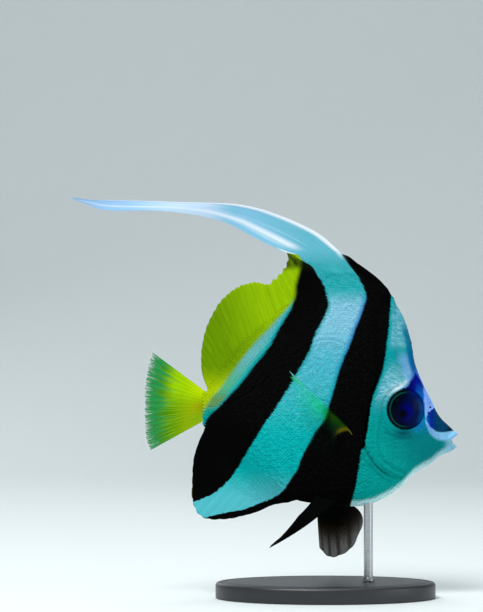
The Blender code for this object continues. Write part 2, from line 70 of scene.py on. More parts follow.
# Body widths and outlines, in percent of the standard length
RIDGE_HALF = 1.1
WIDEST_HEIGHT = 0.42
ROUND_POWER, KEEN_POWER = 0.65, 1.05
HALF_WIDTHS = [(-1.0, 1.2), (1.0, 2.1), (4.0, 2.9), (8.0, 3.8), (12.0, 4.8), (16.0, 5.8), (22.0, 7.0),
               (30.0, 8.4), (38.0, 9.3), (46.0, 9.6), (55.0, 9.2), (65.0, 8.0), (75.0, 6.4), (85.0, 4.8),
               (95.0, 3.2), (102.0, 2.0), (105.0, 1.2)]
TOP_KEYS = [(0.3, 1.7), (2.0, 2.9), (4.5, 5.3), (7.3, 8.0), (9.4, 11.2), (11.6, 16.0), (14.7, 22.0),
            (18.0, 30.6), (19.6, 39.6), (22.4, 48.6), (25.7, 54.7), (27.3, 58.0), (33.1, 60.4),
            (39.6, 60.8), (46.5, 59.6), (53.5, 56.3), (60.4, 51.0), (66.9, 44.5), (73.5, 38.0),
            (80.4, 31.4), (87.8, 25.3), (94.7, 20.8), (102.0, 18.9)]
BOTTOM_KEYS = [(0.9, -3.6), (2.2, -4.7), (4.3, -5.8), (7.8, -7.3), (11.8, -10.6), (15.9, -12.9),
               (20.4, -16.5), (24.1, -20.4), (30.2, -24.3), (36.3, -26.9), (42.5, -27.9), (52.7, -27.3),
               (64.9, -25.7), (69.4, -22.9), (75.1, -18.8), (81.2, -13.1), (86.9, -7.3), (92.7, -1.2),
               (98.0, 3.6), (104.4, 6.0)]
GILL_KEYS = [(20.4, -16.5), (24.9, -15.9), (29.6, -13.5), (34.5, -9.0), (37.8, -3.3), (37.6, 2.0),
             (36.2, 11.0), (34.3, 20.0), (31.3, 29.8), (29.6, 39.6), (28.4, 48.2), (27.3, 58.0)]
CHEEK_KEYS = [(31.8, 9.0), (32.9, 4.0), (33.1, -0.8), (32.7, -6.1), (31.0, -9.4), (28.2, -11.4),
              (25.7, -13.1), (22.6, -13.9)]
SIDE_LINE_KEYS = [(33.5, 25.0), (40.0, 33.5), (48.0, 39.0), (56.0, 40.0), (64.0, 36.5), (72.0, 30.0),
                  (80.0, 22.8), (88.0, 17.0), (96.0, 13.6), (102.0, 12.6)]
GILL_TOP, GILL_FOOT = 27.3, 20.4
GILL_RISE, GILL_GROOVE = 0.55, 0.3
CHEEK_RISE, CHEEK_GROOVE = 0.08, 0.13
SIDE_GROOVE = 0.06

# Eye and mouth
EYE_BACK, EYE_UP = 22.1, 11.8
EYE_RADIUS = 8.16
EYE_RIM_Y = 6.43
EYE_NARROW = 0.955
EYE_TURN = math.radians(12.0)
RIM_RISE, SOCKET_DEPTH = 0.3, 1.9
MOUTH_CORNER = (3.7, -0.9)
MOUTH_SHARE = 0.15
NOSTRIL_DEPTH = 0.55
NOSTRILS = [(11.9, 12.6, 0.5), (12.8, 10.4, 0.42)]

# Depth of the groove in the stand's base, in metres
GROOVE = 0.00025

# Rays of the fins: (root back, (tip back, tip up))
SPINES = [(27.6, (29.1, 61.0)), (30.6, (33.7, 65.7)), (34.4, (41.2, 71.2)), (39.5, (48.4, 75.3)),
          (46.5, (65.6, 74.9)), (52.0, (70.3, 75.7)), (56.8, (70.4, 71.6)), (60.8, (71.8, 69.2)),
          (64.2, (73.7, 66.9)), (67.4, (75.9, 64.9)), (71.2, (78.9, 62.9))]
PENNANT_SPINE = 3
SOFT_DORSAL = [(71.1, (78.8, 62.9)), (75.0, (84.1, 63.8)), (80.0, (90.0, 61.9)), (85.0, (96.4, 57.2)),
               (90.0, (102.0, 48.3)), (94.5, (105.0, 37.5)), (98.5, (105.0, 27.0)), (101.2, (102.6, 20.4))]
ANAL = [(66.2, (71.5, -26.3)), (68.2, (77.1, -27.8)), (70.5, (82.4, -30.2)), (74.0, (88.4, -31.9)),
        (79.0, (95.8, -33.3)), (84.0, (104.2, -32.8)), (88.5, (108.6, -27.4)), (92.5, (109.1, -17.6)),
        (96.0, (108.3, -8.3)), (99.5, (106.0, -1.0)), (102.4, (103.6, 3.4))]
CAUDAL = [((102.4, 18.2), (125.3, 35.1)), ((102.8, 16.2), (127.6, 26.0)), ((103.2, 13.9), (128.4, 16.5)),
          ((103.7, 11.4), (128.4, 7.5)), ((104.2, 9.0), (127.8, 0.2)), ((104.7, 6.7), (126.3, -5.2))]
PENNANT_TOP = [(48.5, 76.0), (56.7, 83.0), (64.9, 87.4), (73.1, 90.8), (81.2, 93.5), (89.4, 95.2),
               (97.6, 95.9), (115.9, 96.3), (138.4, 97.1), (150.0, 97.3), (158.0, 98.3)]
PENNANT_LOW = [(65.8, 74.8), (71.0, 75.9), (79.2, 79.6), (87.3, 84.0), (94.3, 87.6), (105.7, 90.7),
               (122.0, 92.7), (139.2, 92.8), (146.5, 93.4), (151.4, 95.2), (158.0, 97.7)]
PENNANT_FOOT = [(43.6, 67.0), (58.0, 67.5)]
PECTORAL = [((44.2, 2.4), (48.5, 9.0), (69.5, 27.8), 8.5), ((45.1, 1.9), (50.0, 7.4), (68.3, 20.5), 9.0),
            ((46.0, 1.3), (51.2, 5.0), (66.4, 12.0), 9.2), ((46.9, 0.8), (51.8, 2.4), (63.9, 4.0), 9.0),
            ((47.8, 0.3), (51.6, -0.4), (61.5, -2.5), 8.6), ((48.6, -0.4), (51.0, -2.8), (58.8, -7.6), 8.0)]
PECTORAL_SPREAD = 4.5
PELVIC_ROOT_Y = 3.0
NEAR_PELVIC = [(50.6, (59.0, -34.8, 3.6), (77.6, -44.5, 6.0)),
               (52.8, (60.0, -33.5, 3.8), (76.6, -43.1, 6.3)),
               (55.0, (61.0, -32.0, 3.9), (72.6, -39.6, 6.4)),
               (57.0, (61.8, -30.0, 3.8), (69.0, -35.6, 6.0)),
               (58.6, (62.4, -28.6, 3.6), (65.6, -31.4, 5.0))]
FAR_PELVIC = [(50.6, (36.4, -28.4, 9.0), (38.8, -38.6, 24.5)),
              (52.6, (42.4, -31.5, 9.5), (42.6, -46.5, 24.5)),
              (54.6, (49.6, -33.5, 9.0), (48.2, -50.0, 22.5)),
              (56.4, (54.2, -33.0, 8.0), (52.8, -50.0, 19.0)),
              (58.2, (57.8, -31.0, 6.5), (56.6, -46.0, 13.5))]

# Stage: floor ahead of the fish, top of the wall, point the lights look at (metres), sensor (mm)
FLOOR_AHEAD = 3.2
WALL_TOP = 2.6
LIT_POINT = (0.0, 0.0, 0.09)
SENSOR = 36.0

# Lowest value and span of the heights and distances back that the markings' edges are kept in
UP_RANGE = (-50.0, 155.0)
BACK_RANGE = (-5.0, 165.0)

# Edges of the markings, (back, up) from the top down
BAND_FRONT = [(24.0, 70.0), (27.3, 58.0), (28.2, 52.0), (28.7, 44.1), (29.3, 39.6), (30.7, 29.8),
              (34.0, 20.0), (35.9, 14.7), (36.7, 9.0), (37.2, 3.6), (38.2, -0.5), (38.1, -2.6),
              (39.4, -4.1), (40.1, -5.8), (40.4, -9.4), (41.0, -12.6), (41.6, -16.3), (42.2, -20.0),
              (43.7, -26.0), (44.5, -30.0)]
BAND_BACK = [(50.0, 78.0), (48.4, 75.5), (46.1, 72.4), (43.3, 68.6), (40.4, 64.5), (38.4, 60.6),
             (37.7, 57.1), (38.4, 54.3), (40.0, 49.6), (42.0, 44.9), (44.1, 39.2), (46.1, 34.3),
             (48.4, 29.0), (50.2, 22.9), (52.2, 16.3), (53.5, 12.2), (55.1, 7.8), (58.4, 3.3), (61.2, -1.8),
             (64.1, -7.6), (66.1, -13.1), (69.0, -17.6), (71.8, -21.6), (76.5, -24.7), (81.2, -26.5),
             (87.3, -29.0), (94.7, -30.4), (102.4, -32.2), (108.0, -34.0)]
REAR_FRONT = [(70.0, 77.0), (66.5, 74.3), (62.9, 71.8), (60.2, 70.2), (57.6, 66.1), (54.7, 61.6),
              (53.5, 57.1), (53.1, 54.9), (54.7, 49.8), (57.1, 45.3), (59.4, 40.4), (60.8, 35.9),
              (63.0, 31.8), (65.1, 28.2), (68.5, 22.0), (72.2, 16.3), (75.8, 10.6), (79.3, 5.7),
              (83.0, -0.4), (87.3, -7.6), (91.3, -13.9), (95.2, -18.4), (100.6, -22.9), (106.1, -25.3),
              (112.0, -28.0)]
REAR_BACK = [(64.0, 74.0), (65.1, 68.2), (66.9, 62.4), (67.3, 56.3), (68.2, 52.7), (70.7, 48.2),
             (74.1, 42.4), (77.1, 37.1), (82.0, 31.0), (85.7, 26.3), (89.4, 21.6), (94.1, 16.7),
             (97.6, 12.7), (101.6, 9.2), (103.3, 5.7), (105.0, 2.0), (112.0, -4.0)]
YELLOW_EDGE = [(64.6, 74.0), (65.4, 68.2), (66.9, 62.4), (67.3, 57.6), (68.2, 55.0), (71.2, 51.4),
               (74.3, 48.2), (78.0, 43.9), (82.0, 40.0), (85.0, 36.3), (88.0, 32.4), (91.1, 28.2),
               (94.3, 24.1), (97.3, 20.0), (100.2, 17.1), (103.0, 13.0), (105.2, 9.0), (107.0, 5.0),
               (110.0, -2.0)]
MASK_FRONT = [(18.4, 30.0), (17.8, 26.8), (16.2, 24.2), (14.7, 21.5), (14.6, 19.0), (14.6, 15.5),
              (14.4, 12.3), (14.8, 8.5), (16.5, 5.0)]
MASK_BACK = [(16.0, 30.0), (18.0, 26.8), (19.5, 23.8), (21.2, 21.4), (24.0, 19.8), (26.0, 18.5),
             (26.0, 7.0), (21.0, 4.0)]
FOREHEAD = [(9.4, 11.2), (11.6, 16.0), (14.7, 22.0), (18.0, 30.6), (19.6, 39.6), (22.4, 48.6), (25.7, 54.7),
            (27.3, 58.0)]
SADDLE_LOW = [(-2.0, 3.4), (2.2, 3.0), (7.1, 2.4), (10.3, 3.4), (12.7, 5.8), (13.4, 8.5), (20.0, 30.0)]
SADDLE_BACK = [(7.5, 14.5), (10.9, 12.0), (12.8, 10.2), (13.4, 7.9), (13.5, -5.0)]


def smooth(value):
    """Smooth step from 0 to 1."""
    value = np.clip(value, 0.0, 1.0)
    return value * value * (3.0 - 2.0 * value)


def spline(keys, t):
    """Catmull-Rom curve through the keys for t from 0 to 1; runs straight on past both ends."""
    keys = np.asarray(keys, float)
    keys = np.vstack([2 * keys[0] - keys[1], keys, 2 * keys[-1] - keys[-2]])
    s = np.atleast_1d(np.asarray(t, float)) * (len(keys) - 3)
    i = np.clip(s.astype(int), 0, len(keys) - 4)
    f = (s - i)[:, None]
    before, a, b, after = (keys[i + step] for step in range(4))
    return 0.5 * (2 * a + (b - before) * f + (2 * before - 5 * a + 4 * b - after) * f ** 2
                  + (3 * a - before - 3 * b + after) * f ** 3)


class Line:
    """A smooth line in side view, read by its length, by its distance back or by its height."""

    def __init__(self, keys):
        self.points = spline(keys, np.linspace(0.0, 1.0, 12 * (len(keys) - 1) + 1))
        steps = np.linalg.norm(np.diff(self.points, axis=0), axis=1)
        self.run = np.concatenate([[0.0], np.cumsum(steps)])
        self.run /= self.run[-1]

    def along(self, t):
        return np.stack([np.interp(t, self.run, self.points[:, axis]) for axis in (0, 1)], axis=-1)

    def share(self, back):
        return float(np.interp(back, self.points[:, 0], self.run))

    def up_at(self, back):
        return np.interp(back, self.points[:, 0], self.points[:, 1])

    def back_at(self, up):
        return np.interp(up, self.points[:, 1], self.points[:, 0])

    def distance(self, back, up):
        return np.min(np.hypot(self.points[:, 0] - np.asarray(back)[..., None],
                               self.points[:, 1] - np.asarray(up)[..., None]), axis=-1)


TOP = Line(TOP_KEYS)
BOTTOM = Line(BOTTOM_KEYS)
GILL = Line(GILL_KEYS)
CHEEK = Line(CHEEK_KEYS)
SIDE_LINE = Line(SIDE_LINE_KEYS)


def body_height(back, up):
    """Height on the body's side view, from 0 on the line of the belly to 1 on that of the back."""
    low, high = BOTTOM.up_at(back), TOP.up_at(back)
    return np.clip((up - low) / np.maximum(high - low, 0.01), 0.0, 1.0)


def half_width(back, up):
    """Half width of the plain body, in percent, at places on its side view."""
    widest = np.interp(back, *zip(*HALF_WIDTHS))
    height = body_height(back, up)
    upper = height > WIDEST_HEIGHT
    reach = np.where(upper, (height - WIDEST_HEIGHT) / (1.0 - WIDEST_HEIGHT), 1.0 - height / WIDEST_HEIGHT)
    keen = np.where(upper, smooth((back - 24.0) / 10.0), smooth((back - 52.0) / 20.0))
    power = ROUND_POWER + (KEEN_POWER - ROUND_POWER) * keen
    section = np.clip(1.0 - reach ** (2.3 - 0.4 * keen), 0.0, 1.0) ** power
    edge = np.minimum(RIDGE_HALF, 0.6 * widest)
    finned = np.where(upper, smooth((back - 28.0) / 3.0), smooth((back - 66.0) / 3.0))
    ridge = np.sqrt(np.clip(1.0 - (1.0 - 0.9 * finned) * reach ** 12, 0.0, 1.0))
    return edge * ridge + (widest - edge) * section


def bump(distance, wide):
    """Round bump over a distance."""
    return np.exp(-(distance / wide) ** 2)


def skin_width(back, up):
    """Half width with the forms of the head: gill cover, cheek, orbit, nostrils and side line."""
    y = np.maximum(half_width(back, up) - 0.1, 0.0)
    away = np.minimum(1.0, y / 1.2)
    ahead = np.sign(GILL.back_at(up) - back) * GILL.distance(back, up)
    tall = smooth((34.0 - up) / 26.0) * smooth((up + 17.5) / 5.0)
    cover = np.where(ahead > 0.0, smooth(1.0 - ahead / 7.0), smooth(1.0 + ahead / 0.55))
    y = y + away * tall * (GILL_RISE * cover - GILL_GROOVE * bump(ahead + 0.9, 0.5))
    cheek = CHEEK.distance(back, up)
    fade = smooth((12.0 - up) / 8.0)
    y = y - away * fade * (CHEEK_GROOVE * bump(cheek, 0.75) - CHEEK_RISE * bump(cheek - 1.4, 1.1))
    y = y + 0.35 * away * bump(np.hypot(back - 27.0, (up + 4.0) * 0.8), 7.0)
    y = y - SIDE_GROOVE * away * bump(SIDE_LINE.distance(back, up), 0.45)
    ring = np.hypot((back - EYE_BACK) / EYE_NARROW, up - EYE_UP)
    plane = EYE_RIM_Y + (back - EYE_BACK) * math.tan(EYE_TURN)
    beyond = ring - EYE_RADIUS
    near = smooth((3.4 - beyond) / 2.9)
    y = y + near * (plane + 0.1 - y)
    y = y + RIM_RISE * bump(beyond - 0.75, 0.5) - 0.05 * bump(beyond - 2.0, 0.5)
    y = y + smooth((0.1 - beyond) / 0.5) * (plane - SOCKET_DEPTH - y)
    for b, u, radius in NOSTRILS:
        spot = np.hypot(back - b, up - u)
        y = y - NOSTRIL_DEPTH * bump(spot, radius) + 0.2 * bump(spot - 1.8 * radius, 0.5 * radius)
    return y


def place(back, up, y=0.0):
    """Metres from percent; arrays in, array of points out."""
    back, up, y = np.broadcast_arrays(back, up, y)
    return np.stack([SNOUT_X - back * PERCENT, y * PERCENT, SNOUT_Z + up * PERCENT], axis=-1)


def gill_bow(v):
    """How far the edge of the gill cover bows back from the straight line between its ends."""
    up = -16.5 + v * 74.5
    return GILL.back_at(up) - (GILL_FOOT + v * (GILL_TOP - GILL_FOOT))


# Mesh helpers
def put(name, data):
    """New object in the scene, at the origin."""
    thing = bpy.data.objects.new(name, data)
    bpy.context.scene.collection.objects.link(thing)
    return thing


def mark_points(mesh, label, values):
    """Keep a number or a vector on each point of a mesh."""
    values = np.asarray(values, np.float32)
    kind, field = ("FLOAT", "value") if values.ndim == 1 else ("FLOAT_VECTOR", "vector")
    mesh.attributes.new(label, kind, "POINT").data.foreach_set(field, values.ravel())


def flat_marks(mesh, label):
    """First two numbers of a vector kept on the points of a mesh."""
    values = np.zeros(3 * len(mesh.vertices))
    mesh.attributes[label].data.foreach_get("vector", values)
    return values.reshape(-1, 3)[:, :2]


def lay_map(mesh, label, places):
    """UV map from one flat place for each point."""
    corner = np.zeros(len(mesh.loops), int)
    mesh.loops.foreach_get("vertex_index", corner)
    mesh.uv_layers.new(name=label).data.foreach_set("uv", places[corner].astype(np.float32).ravel())


def new_object(name, points, faces, marks=None, weld=False):
    """Smooth closed object at the origin; marks are numbers kept on its points."""
    mesh = bpy.data.meshes.new(name)
    faces = faces.tolist() if isinstance(faces, np.ndarray) else faces
    mesh.from_pydata(np.asarray(points).reshape(-1, 3).tolist(), [], faces)
    for label, values in (marks or {}).items():
        mark_points(mesh, label, values)
    work = bmesh.new()
    work.from_mesh(mesh)
    if weld:
        bmesh.ops.remove_doubles(work, verts=work.verts, dist=WELD)
        bmesh.ops.dissolve_degenerate(work, edges=work.edges, dist=0.05 * WELD)
    bmesh.ops.recalc_face_normals(work, faces=work.faces)
    work.to_mesh(mesh)
    work.free()
    mesh.shade_smooth()
    return put(name, mesh)


def grid_faces(count_c, count_r, start=0, flip=False):
    """Quads of a grid of points stored column by column."""
    c, r = np.meshgrid(np.arange(count_c - 1), np.arange(count_r - 1), indexing="ij")
    a = (start + c * count_r + r).ravel()
    quads = np.stack([a, a + 1, a + 1 + count_r, a + count_r], axis=1)
    return quads[:, ::-1] if flip else quads


def ring_body(name, rings, foot, crown, marks=None):
    """Closed body through rings of points (rings, sides, 3), between the middles of its two ends."""
    count, sides = rings.shape[:2]
    near = np.arange(sides)
    after = (near + 1) % sides
    belt = np.stack([near, after, after + sides, near + sides], axis=1)
    faces = np.concatenate([belt + r * sides for r in range(count - 1)]).tolist()
    last, end = (count - 1) * sides, count * sides
    faces += np.stack([np.full(sides, end), near, after], axis=1).tolist()
    faces += np.stack([np.full(sides, end + 1), last + after, last + near], axis=1).tolist()
    return new_object(name, np.vstack([rings.reshape(-1, 3), [foot, crown]]), faces, marks)


def sheet(name, centre, half, number, along):
    """Closed thin body round a middle surface (columns, rows, 3), half as thick as told, in metres.

    Its map holds the ray number and the height along the ray.
    """
    normal = np.cross(np.gradient(centre, axis=1), np.gradient(centre, axis=0))
    normal /= np.maximum(np.linalg.norm(normal, axis=2), 1e-12)[..., None]
    columns, rows = half.shape
    faces = [grid_faces(columns, rows), grid_faces(columns, rows, columns * rows, True)]
    index = np.arange(columns * rows).reshape(columns, rows)
    rim = np.concatenate([index[:, 0], index[-1, 1:], index[-2::-1, -1], index[0, -2:0:-1]])
    after = np.roll(rim, -1)
    faces.append(np.stack([rim, after, after + columns * rows, rim + columns * rows], axis=1))
    points = np.concatenate([centre - half[..., None] * normal, centre + half[..., None] * normal])
    thing = new_object(name, points, np.concatenate(faces))
    rays = np.stack(np.broadcast_arrays(number[:, None] + 0.5, along), axis=-1).reshape(-1, 2)
    lay_map(thing.data, "rays", np.concatenate([rays, rays]))
    return thing


def finish_piece(thing, material, slot, *nodes):
    """Give a piece its material, tie it to the frame and let it stand for the frame's nodes."""
    thing.data.materials.clear()
    thing.data.materials.append(material)
    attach(thing, "root")
    if nodes:
        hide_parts(*nodes)


# Materials
def rgb(red, green, blue):
    """Linear colour from everyday 0 to 255 numbers."""
    def channel(value):
        value = value / 255.0
        return value / 12.92 if value <= 0.04045 else ((value + 0.055) / 1.055) ** 2.4
    return (channel(red), channel(green), channel(blue), 1.0)


class Num:
    """A number inside a material; Python's operators turn into Math nodes."""

    def __init__(self, shade, socket):
        self.shade, self.socket = shade, socket

    def math(self, operation, *others, clamp=False):
        settings = {"operation": operation, "use_clamp": clamp}
        return Num(self.shade, self.shade.node("ShaderNodeMath", settings, self, *others).outputs[0])

    def __add__(self, other):
        return self.math("ADD", other)

    def __sub__(self, other):
        return self.math("SUBTRACT", other)

    def __mul__(self, other):
        return self.math("MULTIPLY", other)

    def __truediv__(self, other):
        return self.math("DIVIDE", other)

    def __rmul__(self, other):
        return self * other

    def __rsub__(self, other):
        return self * -1.0 + other

    def under(self, other):
        """The smaller of two numbers."""
        return self.math("MINIMUM", other)

    def times(self, other):
        """Product kept between 0 and 1."""
        return self.math("MULTIPLY", other, clamp=True)

    def step(self, low, high):
        """Smooth step from 0 at low to 1 at high."""
        settings = {"interpolation_type": "SMOOTHSTEP"}
        made = self.shade.node("ShaderNodeMapRange", settings, self, low, high, 0.0, 1.0)
        return Num(self.shade, made.outputs[0])

    def hill(self, wide):
        """Round hill about zero, 1 at its top."""
        return (self * self * (-1.0 / wide ** 2)).math("EXPONENT")


class Shade:
    """Nodes of one material."""

    def __init__(self, name, **constants):
        self.material = bpy.data.materials.new(name)
        self.material.use_nodes = True
        self.tree = self.material.node_tree
        self.shader = self.tree.nodes["Principled BSDF"]
        for label, value in constants.items():
            self.shader.inputs[label.replace("_", " ").title().replace("Ior", "IOR")].default_value = value

    def plug(self, value, target):
        """Link a value to a socket, or set it there; three whole numbers are a colour."""
        value = value.socket if isinstance(value, Num) else value
        if isinstance(value, bpy.types.NodeSocket):
            self.tree.links.new(value, target)
        else:
            target.default_value = rgb(*value) if isinstance(value, tuple) and len(value) == 3 else value

    def node(self, kind, settings, *values, **named):
        made = self.tree.nodes.new(kind)
        for label, value in settings.items():
            setattr(made, label, value)
        for target, value in [*enumerate(values), *named.items()]:
            self.plug(value, made.inputs[target])
        return made

    def feed(self, label, value):
        self.plug(value, self.shader.inputs[label])

    def places(self):
        """Object coordinates as (vector, back, up, y) with the last three in percent."""
        vector = self.node("ShaderNodeTexCoord", {}).outputs["Object"]
        return (vector, *self.percent(vector))

    def percent(self, vector):
        parts = self.node("ShaderNodeSeparateXYZ", {}, vector).outputs
        x, y, z = (Num(self, part) for part in parts)
        return (SNOUT_X - x) / PERCENT, (z - SNOUT_Z) / PERCENT, y / PERCENT

    def rays(self):
        """Ray number and height along the ray, from the fin's own map."""
        vector = self.node("ShaderNodeUVMap", {"uv_map": "rays"}).outputs[0]
        parts = self.node("ShaderNodeSeparateXYZ", {}, vector).outputs
        return Num(self, parts[0]), Num(self, parts[1])

    def mark(self, label):
        return Num(self, self.node("ShaderNodeAttribute", {"attribute_name": label}).outputs["Fac"])

    def vector(self, x, y, z):
        return self.node("ShaderNodeCombineXYZ", {}, x, y, z).outputs[0]

    def noise(self, vector, scale, detail=3.0, rough=0.5):
        made = self.node("ShaderNodeTexNoise", {}, Vector=vector, Scale=scale, Detail=detail,
                         Roughness=rough)
        return Num(self, made.outputs[0])

    def mix(self, factor, a, b):
        made = self.node("ShaderNodeMix", {"data_type": "RGBA"})
        for target, value in ((0, factor), (6, a), (7, b)):
            self.plug(value, made.inputs[target])
        return made.outputs[2]

    def brighter(self, colour, factor):
        """Colour times a number, so that black stays black."""
        return self.node("ShaderNodeVectorMath", {"operation": "SCALE"}, colour, Scale=factor).outputs[0]

    def line(self, value, keys, by_up=True):
        """Back of a marking's edge for a height up, or its height for a distance back."""
        (low, span), (out_low, out_span) = (UP_RANGE, BACK_RANGE) if by_up else (BACK_RANGE, UP_RANGE)
        made = self.node("ShaderNodeFloatCurve", {}, 1.0, (value - low) / span)
        pairs = [(up, back) if by_up else (back, up) for back, up in keys]
        pairs = sorted(((given - low) / span, (read - out_low) / out_span) for given, read in pairs)
        pairs = [(0.0, pairs[0][1]), *pairs, (1.0, pairs[-1][1])]
        curve = made.mapping.curves[0]
        for point, pair in zip(curve.points, (pairs[0], pairs[-1])):
            point.location = pair
        for pair in pairs[1:-1]:
            curve.points.new(*pair)
        for point in curve.points:
            point.handle_type = "AUTO_CLAMPED"
        made.mapping.update()
        return Num(self, made.outputs[0]) * out_span + out_low

    def relief(self, height, depth):
        """Fine relief in the shading, depth in metres."""
        made = self.node("ShaderNodeBump", {}, Strength=1.0, Distance=depth, Height=height)
        self.feed("Normal", made.outputs[0])


def markings(s, back, up, wobble, streak):
    """Colour of the whole fish from its place: head, bands, yellow parts and snout."""
    at = back + wobble
    height = up + wobble * 0.6
    front_line, band_line = s.line(height, BAND_FRONT), s.line(height, BAND_BACK)
    rear_line = s.line(height, REAR_FRONT)
    front = (at - front_line).step(-0.35, 0.35)
    band_back = (at - band_line).step(-0.4, 0.4)
    rear_front = (at - rear_line).step(-0.4, 0.4)
    rear_back = (at - s.line(height, REAR_BACK)).step(-0.5, 0.5) * up.step(58.0, 54.5)
    yellow = (at - s.line(height, YELLOW_EDGE)).step(-1.5, 1.1)

    # Head: teal, paler higher up as painted light from above and darker low down as painted shade, with a
    # pale streaked brow, a painted glint over the eye, blue down the profile and a pale throat
    head = s.mix((back - 0.5 * up).step(16.0, 36.0), (0, 122, 126), (0, 150, 145))
    head = s.mix(up.step(2.0, 22.0), head, (0, 148, 154))
    brow = up.step(35.0, 39.5) * 0.8 + ((up - 23.0 + (back - 26.0) * 0.25) * 0.18).hill(1.0)
    brow = (front_line - at).step(0.2, 2.6).times(brow)
    head = s.mix(brow * 0.62, head, (86, 166, 190))
    bright = s.mix(up.step(34.0, 29.0), (152, 204, 222), (174, 220, 236))
    head = s.mix((streak * 3.2 - 1.3).times(brow), head, bright)
    head = s.mix((streak * -3.2 + 1.3).times(brow), head, (0, 150, 162))
    behind = at - s.line(height, FOREHEAD)
    lavender = behind.step(1.2, 3.0) * behind.step(8.0, 4.6) * up.step(36.5, 32.0) * up.step(21.5, 25.5)
    head = s.mix(lavender * (streak * 0.8 + 0.3), head, (112, 162, 214))
    glint = ((back - 24.4) * 0.26).hill(1.0) * ((up - 21.1 + (back - 24.4) * 0.54) * 1.0).hill(1.0)
    head = s.mix(glint * (streak * 0.9 + 0.45), head, (226, 246, 248))
    profile = behind.step(3.4, 1.7) * up.step(24.0, 27.0) * up.step(49.0, 42.0)
    head = s.mix(profile * 0.95, head, s.mix(up.step(40.0, 27.0), (0, 110, 142), (0, 92, 164)))
    low = s.line(back, BOTTOM_KEYS, by_up=False)
    throat = (up - low + wobble).step(3.4, 0.9)
    head = s.mix(throat * 0.94, head, s.mix(back.step(7.0, 22.0), (156, 206, 216), (208, 252, 255)))
    shade = ((back - 23.0) * 0.25).hill(1.0) * ((up - 2.2) * 0.5).hill(1.0)
    head = s.mix(shade * 0.85, head, (0, 66, 80))
    cheek = ((back - 16.2) * 0.33).hill(1.0) * ((up - 5.2) * 0.4).hill(1.0)
    head = s.mix(cheek * 0.9, head, (10, 108, 176))
    lips = back.step(7.0, 3.2)
    head = s.mix(lips * 0.9, head, (136, 186, 212))
    saddle_low = s.line(back, SADDLE_LOW, by_up=False)
    strip = (up - saddle_low + 3.7 - back * 0.075).step(-0.8, 0.7) * back.step(16.6, 15.0)
    pale_blue = s.mix(back.step(8.5, 12.5), (125, 184, 224), (112, 166, 226))
    head = s.mix(strip * 0.9, head, s.mix(up.step(4.0, 10.0), pale_blue, (130, 170, 250)))
    saddle = (up - saddle_low).step(-0.3, 0.4) * (s.line(up, SADDLE_BACK) - back).step(-0.3, 0.4)
    deep = s.mix(back.step(9.0, 11.6), s.mix(back.step(2.8, 6.4), (0, 16, 26), (0, 56, 92)), (2, 40, 146))
    deep = s.mix(back.step(11.6, 13.2) * up.step(10.5, 7.5), deep, (0, 84, 168))
    head = s.mix(saddle, head, deep)
    mask_line = s.line(height, MASK_BACK)
    halo = (mask_line - at).step(-2.4, 0.2) * up.step(18.5, 21.5) * up.step(29.5, 26.5)
    head = s.mix(halo * 0.8, head, (48, 116, 206))
    mask = (at - s.line(height, MASK_FRONT)).step(-0.4, 0.5) * (mask_line - at).step(-0.6, 0.6)
    mask = mask * up.step(4.0, 7.0) * up.step(28.0, 26.4)
    navy = s.mix(back.step(17.5, 21.0), (2, 10, 142), (0, 6, 76))
    head = s.mix(mask, head, s.mix(up.step(24.0, 18.0) * back.step(19.0, 16.2), navy, (0, 84, 168)))

    # White band: its white is painted with the aqua cast of the light, paler sky blue high on the body
    # where light from above is painted, deeper sea blue lower down as painted shade, and teal on the fin
    white = s.mix(up.step(0.0, 35.0), (0, 174, 175), (68, 170, 190))
    white = s.mix(up.step(30.0, 48.0), white, (120, 182, 206))
    white = s.mix(up.step(-12.0, -26.0), white, (80, 184, 194))
    fleck = up.step(-2.0, 22.0) * 0.47 + 0.03
    white = s.mix((streak * 3.0 - 1.5).times(fleck), white, (158, 206, 226))
    white = s.mix((streak * -3.0 + 1.3).times(fleck), white, (0, 136, 146))
    fringe = (at - band_line).step(2.4, 0.0) * up.step(0.0, 20.0) * up.step(70.0, 62.0)
    white = s.mix(fringe * 0.8, white, s.mix(up.step(20.0, 46.0), (0, 144, 172), (0, 110, 180)))
    white = s.mix((rear_line - at).step(2.0, 0.0) * up.step(8.0, 26.0) * 0.75, white, (0, 150, 150))
    white = s.mix(up.step(53.0, 61.5), white, fin_teal(s, up, streak))
    black = s.mix((streak - 0.5).times(0.8), (0, 0, 0), (2, 4, 5))
    beyond = at - s.line(height, REAR_BACK)
    pale = s.mix(up.step(19.0, 34.0), (74, 163, 124), (93, 167, 170))
    pale = s.mix(beyond.step(3.4, 1.2) * up.step(14.0, 19.0), pale,
                 s.mix(up.step(34.0, 42.0), (34, 162, 158), (60, 168, 176)))
    pale = s.mix(up.step(20.0, 15.5), pale, (96, 140, 88))
    pale = s.mix(up.step(14.2, 10.6), pale, (6, 152, 134))
    pale = s.mix(up.step(9.0, 4.0), pale, (0, 156, 170))
    pale = s.mix(beyond.step(1.5, 0.4) * 0.9, pale, (0, 138, 144))
    lemon = s.mix((back - 0.3 * up).step(58.0, 88.0), (138, 178, 2), (96, 136, 0))
    lemon = s.mix(up.step(30.0, 18.0) * back.step(114.0, 106.0), lemon, (160, 186, 2))
    lemon = s.mix(up.step(36.0, 24.0) * back.step(108.0, 122.0), lemon, (96, 154, 6))
    lemon = s.mix((streak - 0.45).times(0.6), lemon, (166, 200, 16))

    colour = s.mix(front, head, black)
    colour = s.mix(band_back, colour, white)
    colour = s.mix(rear_front, colour, black)
    colour = s.mix(rear_back, colour, pale)
    return s.mix(yellow, colour, lemon)


def fin_teal(s, up, streak):
    """Colour of the white band where it runs up the fin into the pennant: teal and pale blue, the painted
    cast of the light on white.
    """
    teal = s.mix((streak - 0.42).times(2.5), (22, 152, 158), (72, 170, 178))
    return s.mix(up.step(67.0, 78.0), teal, (94, 174, 193))


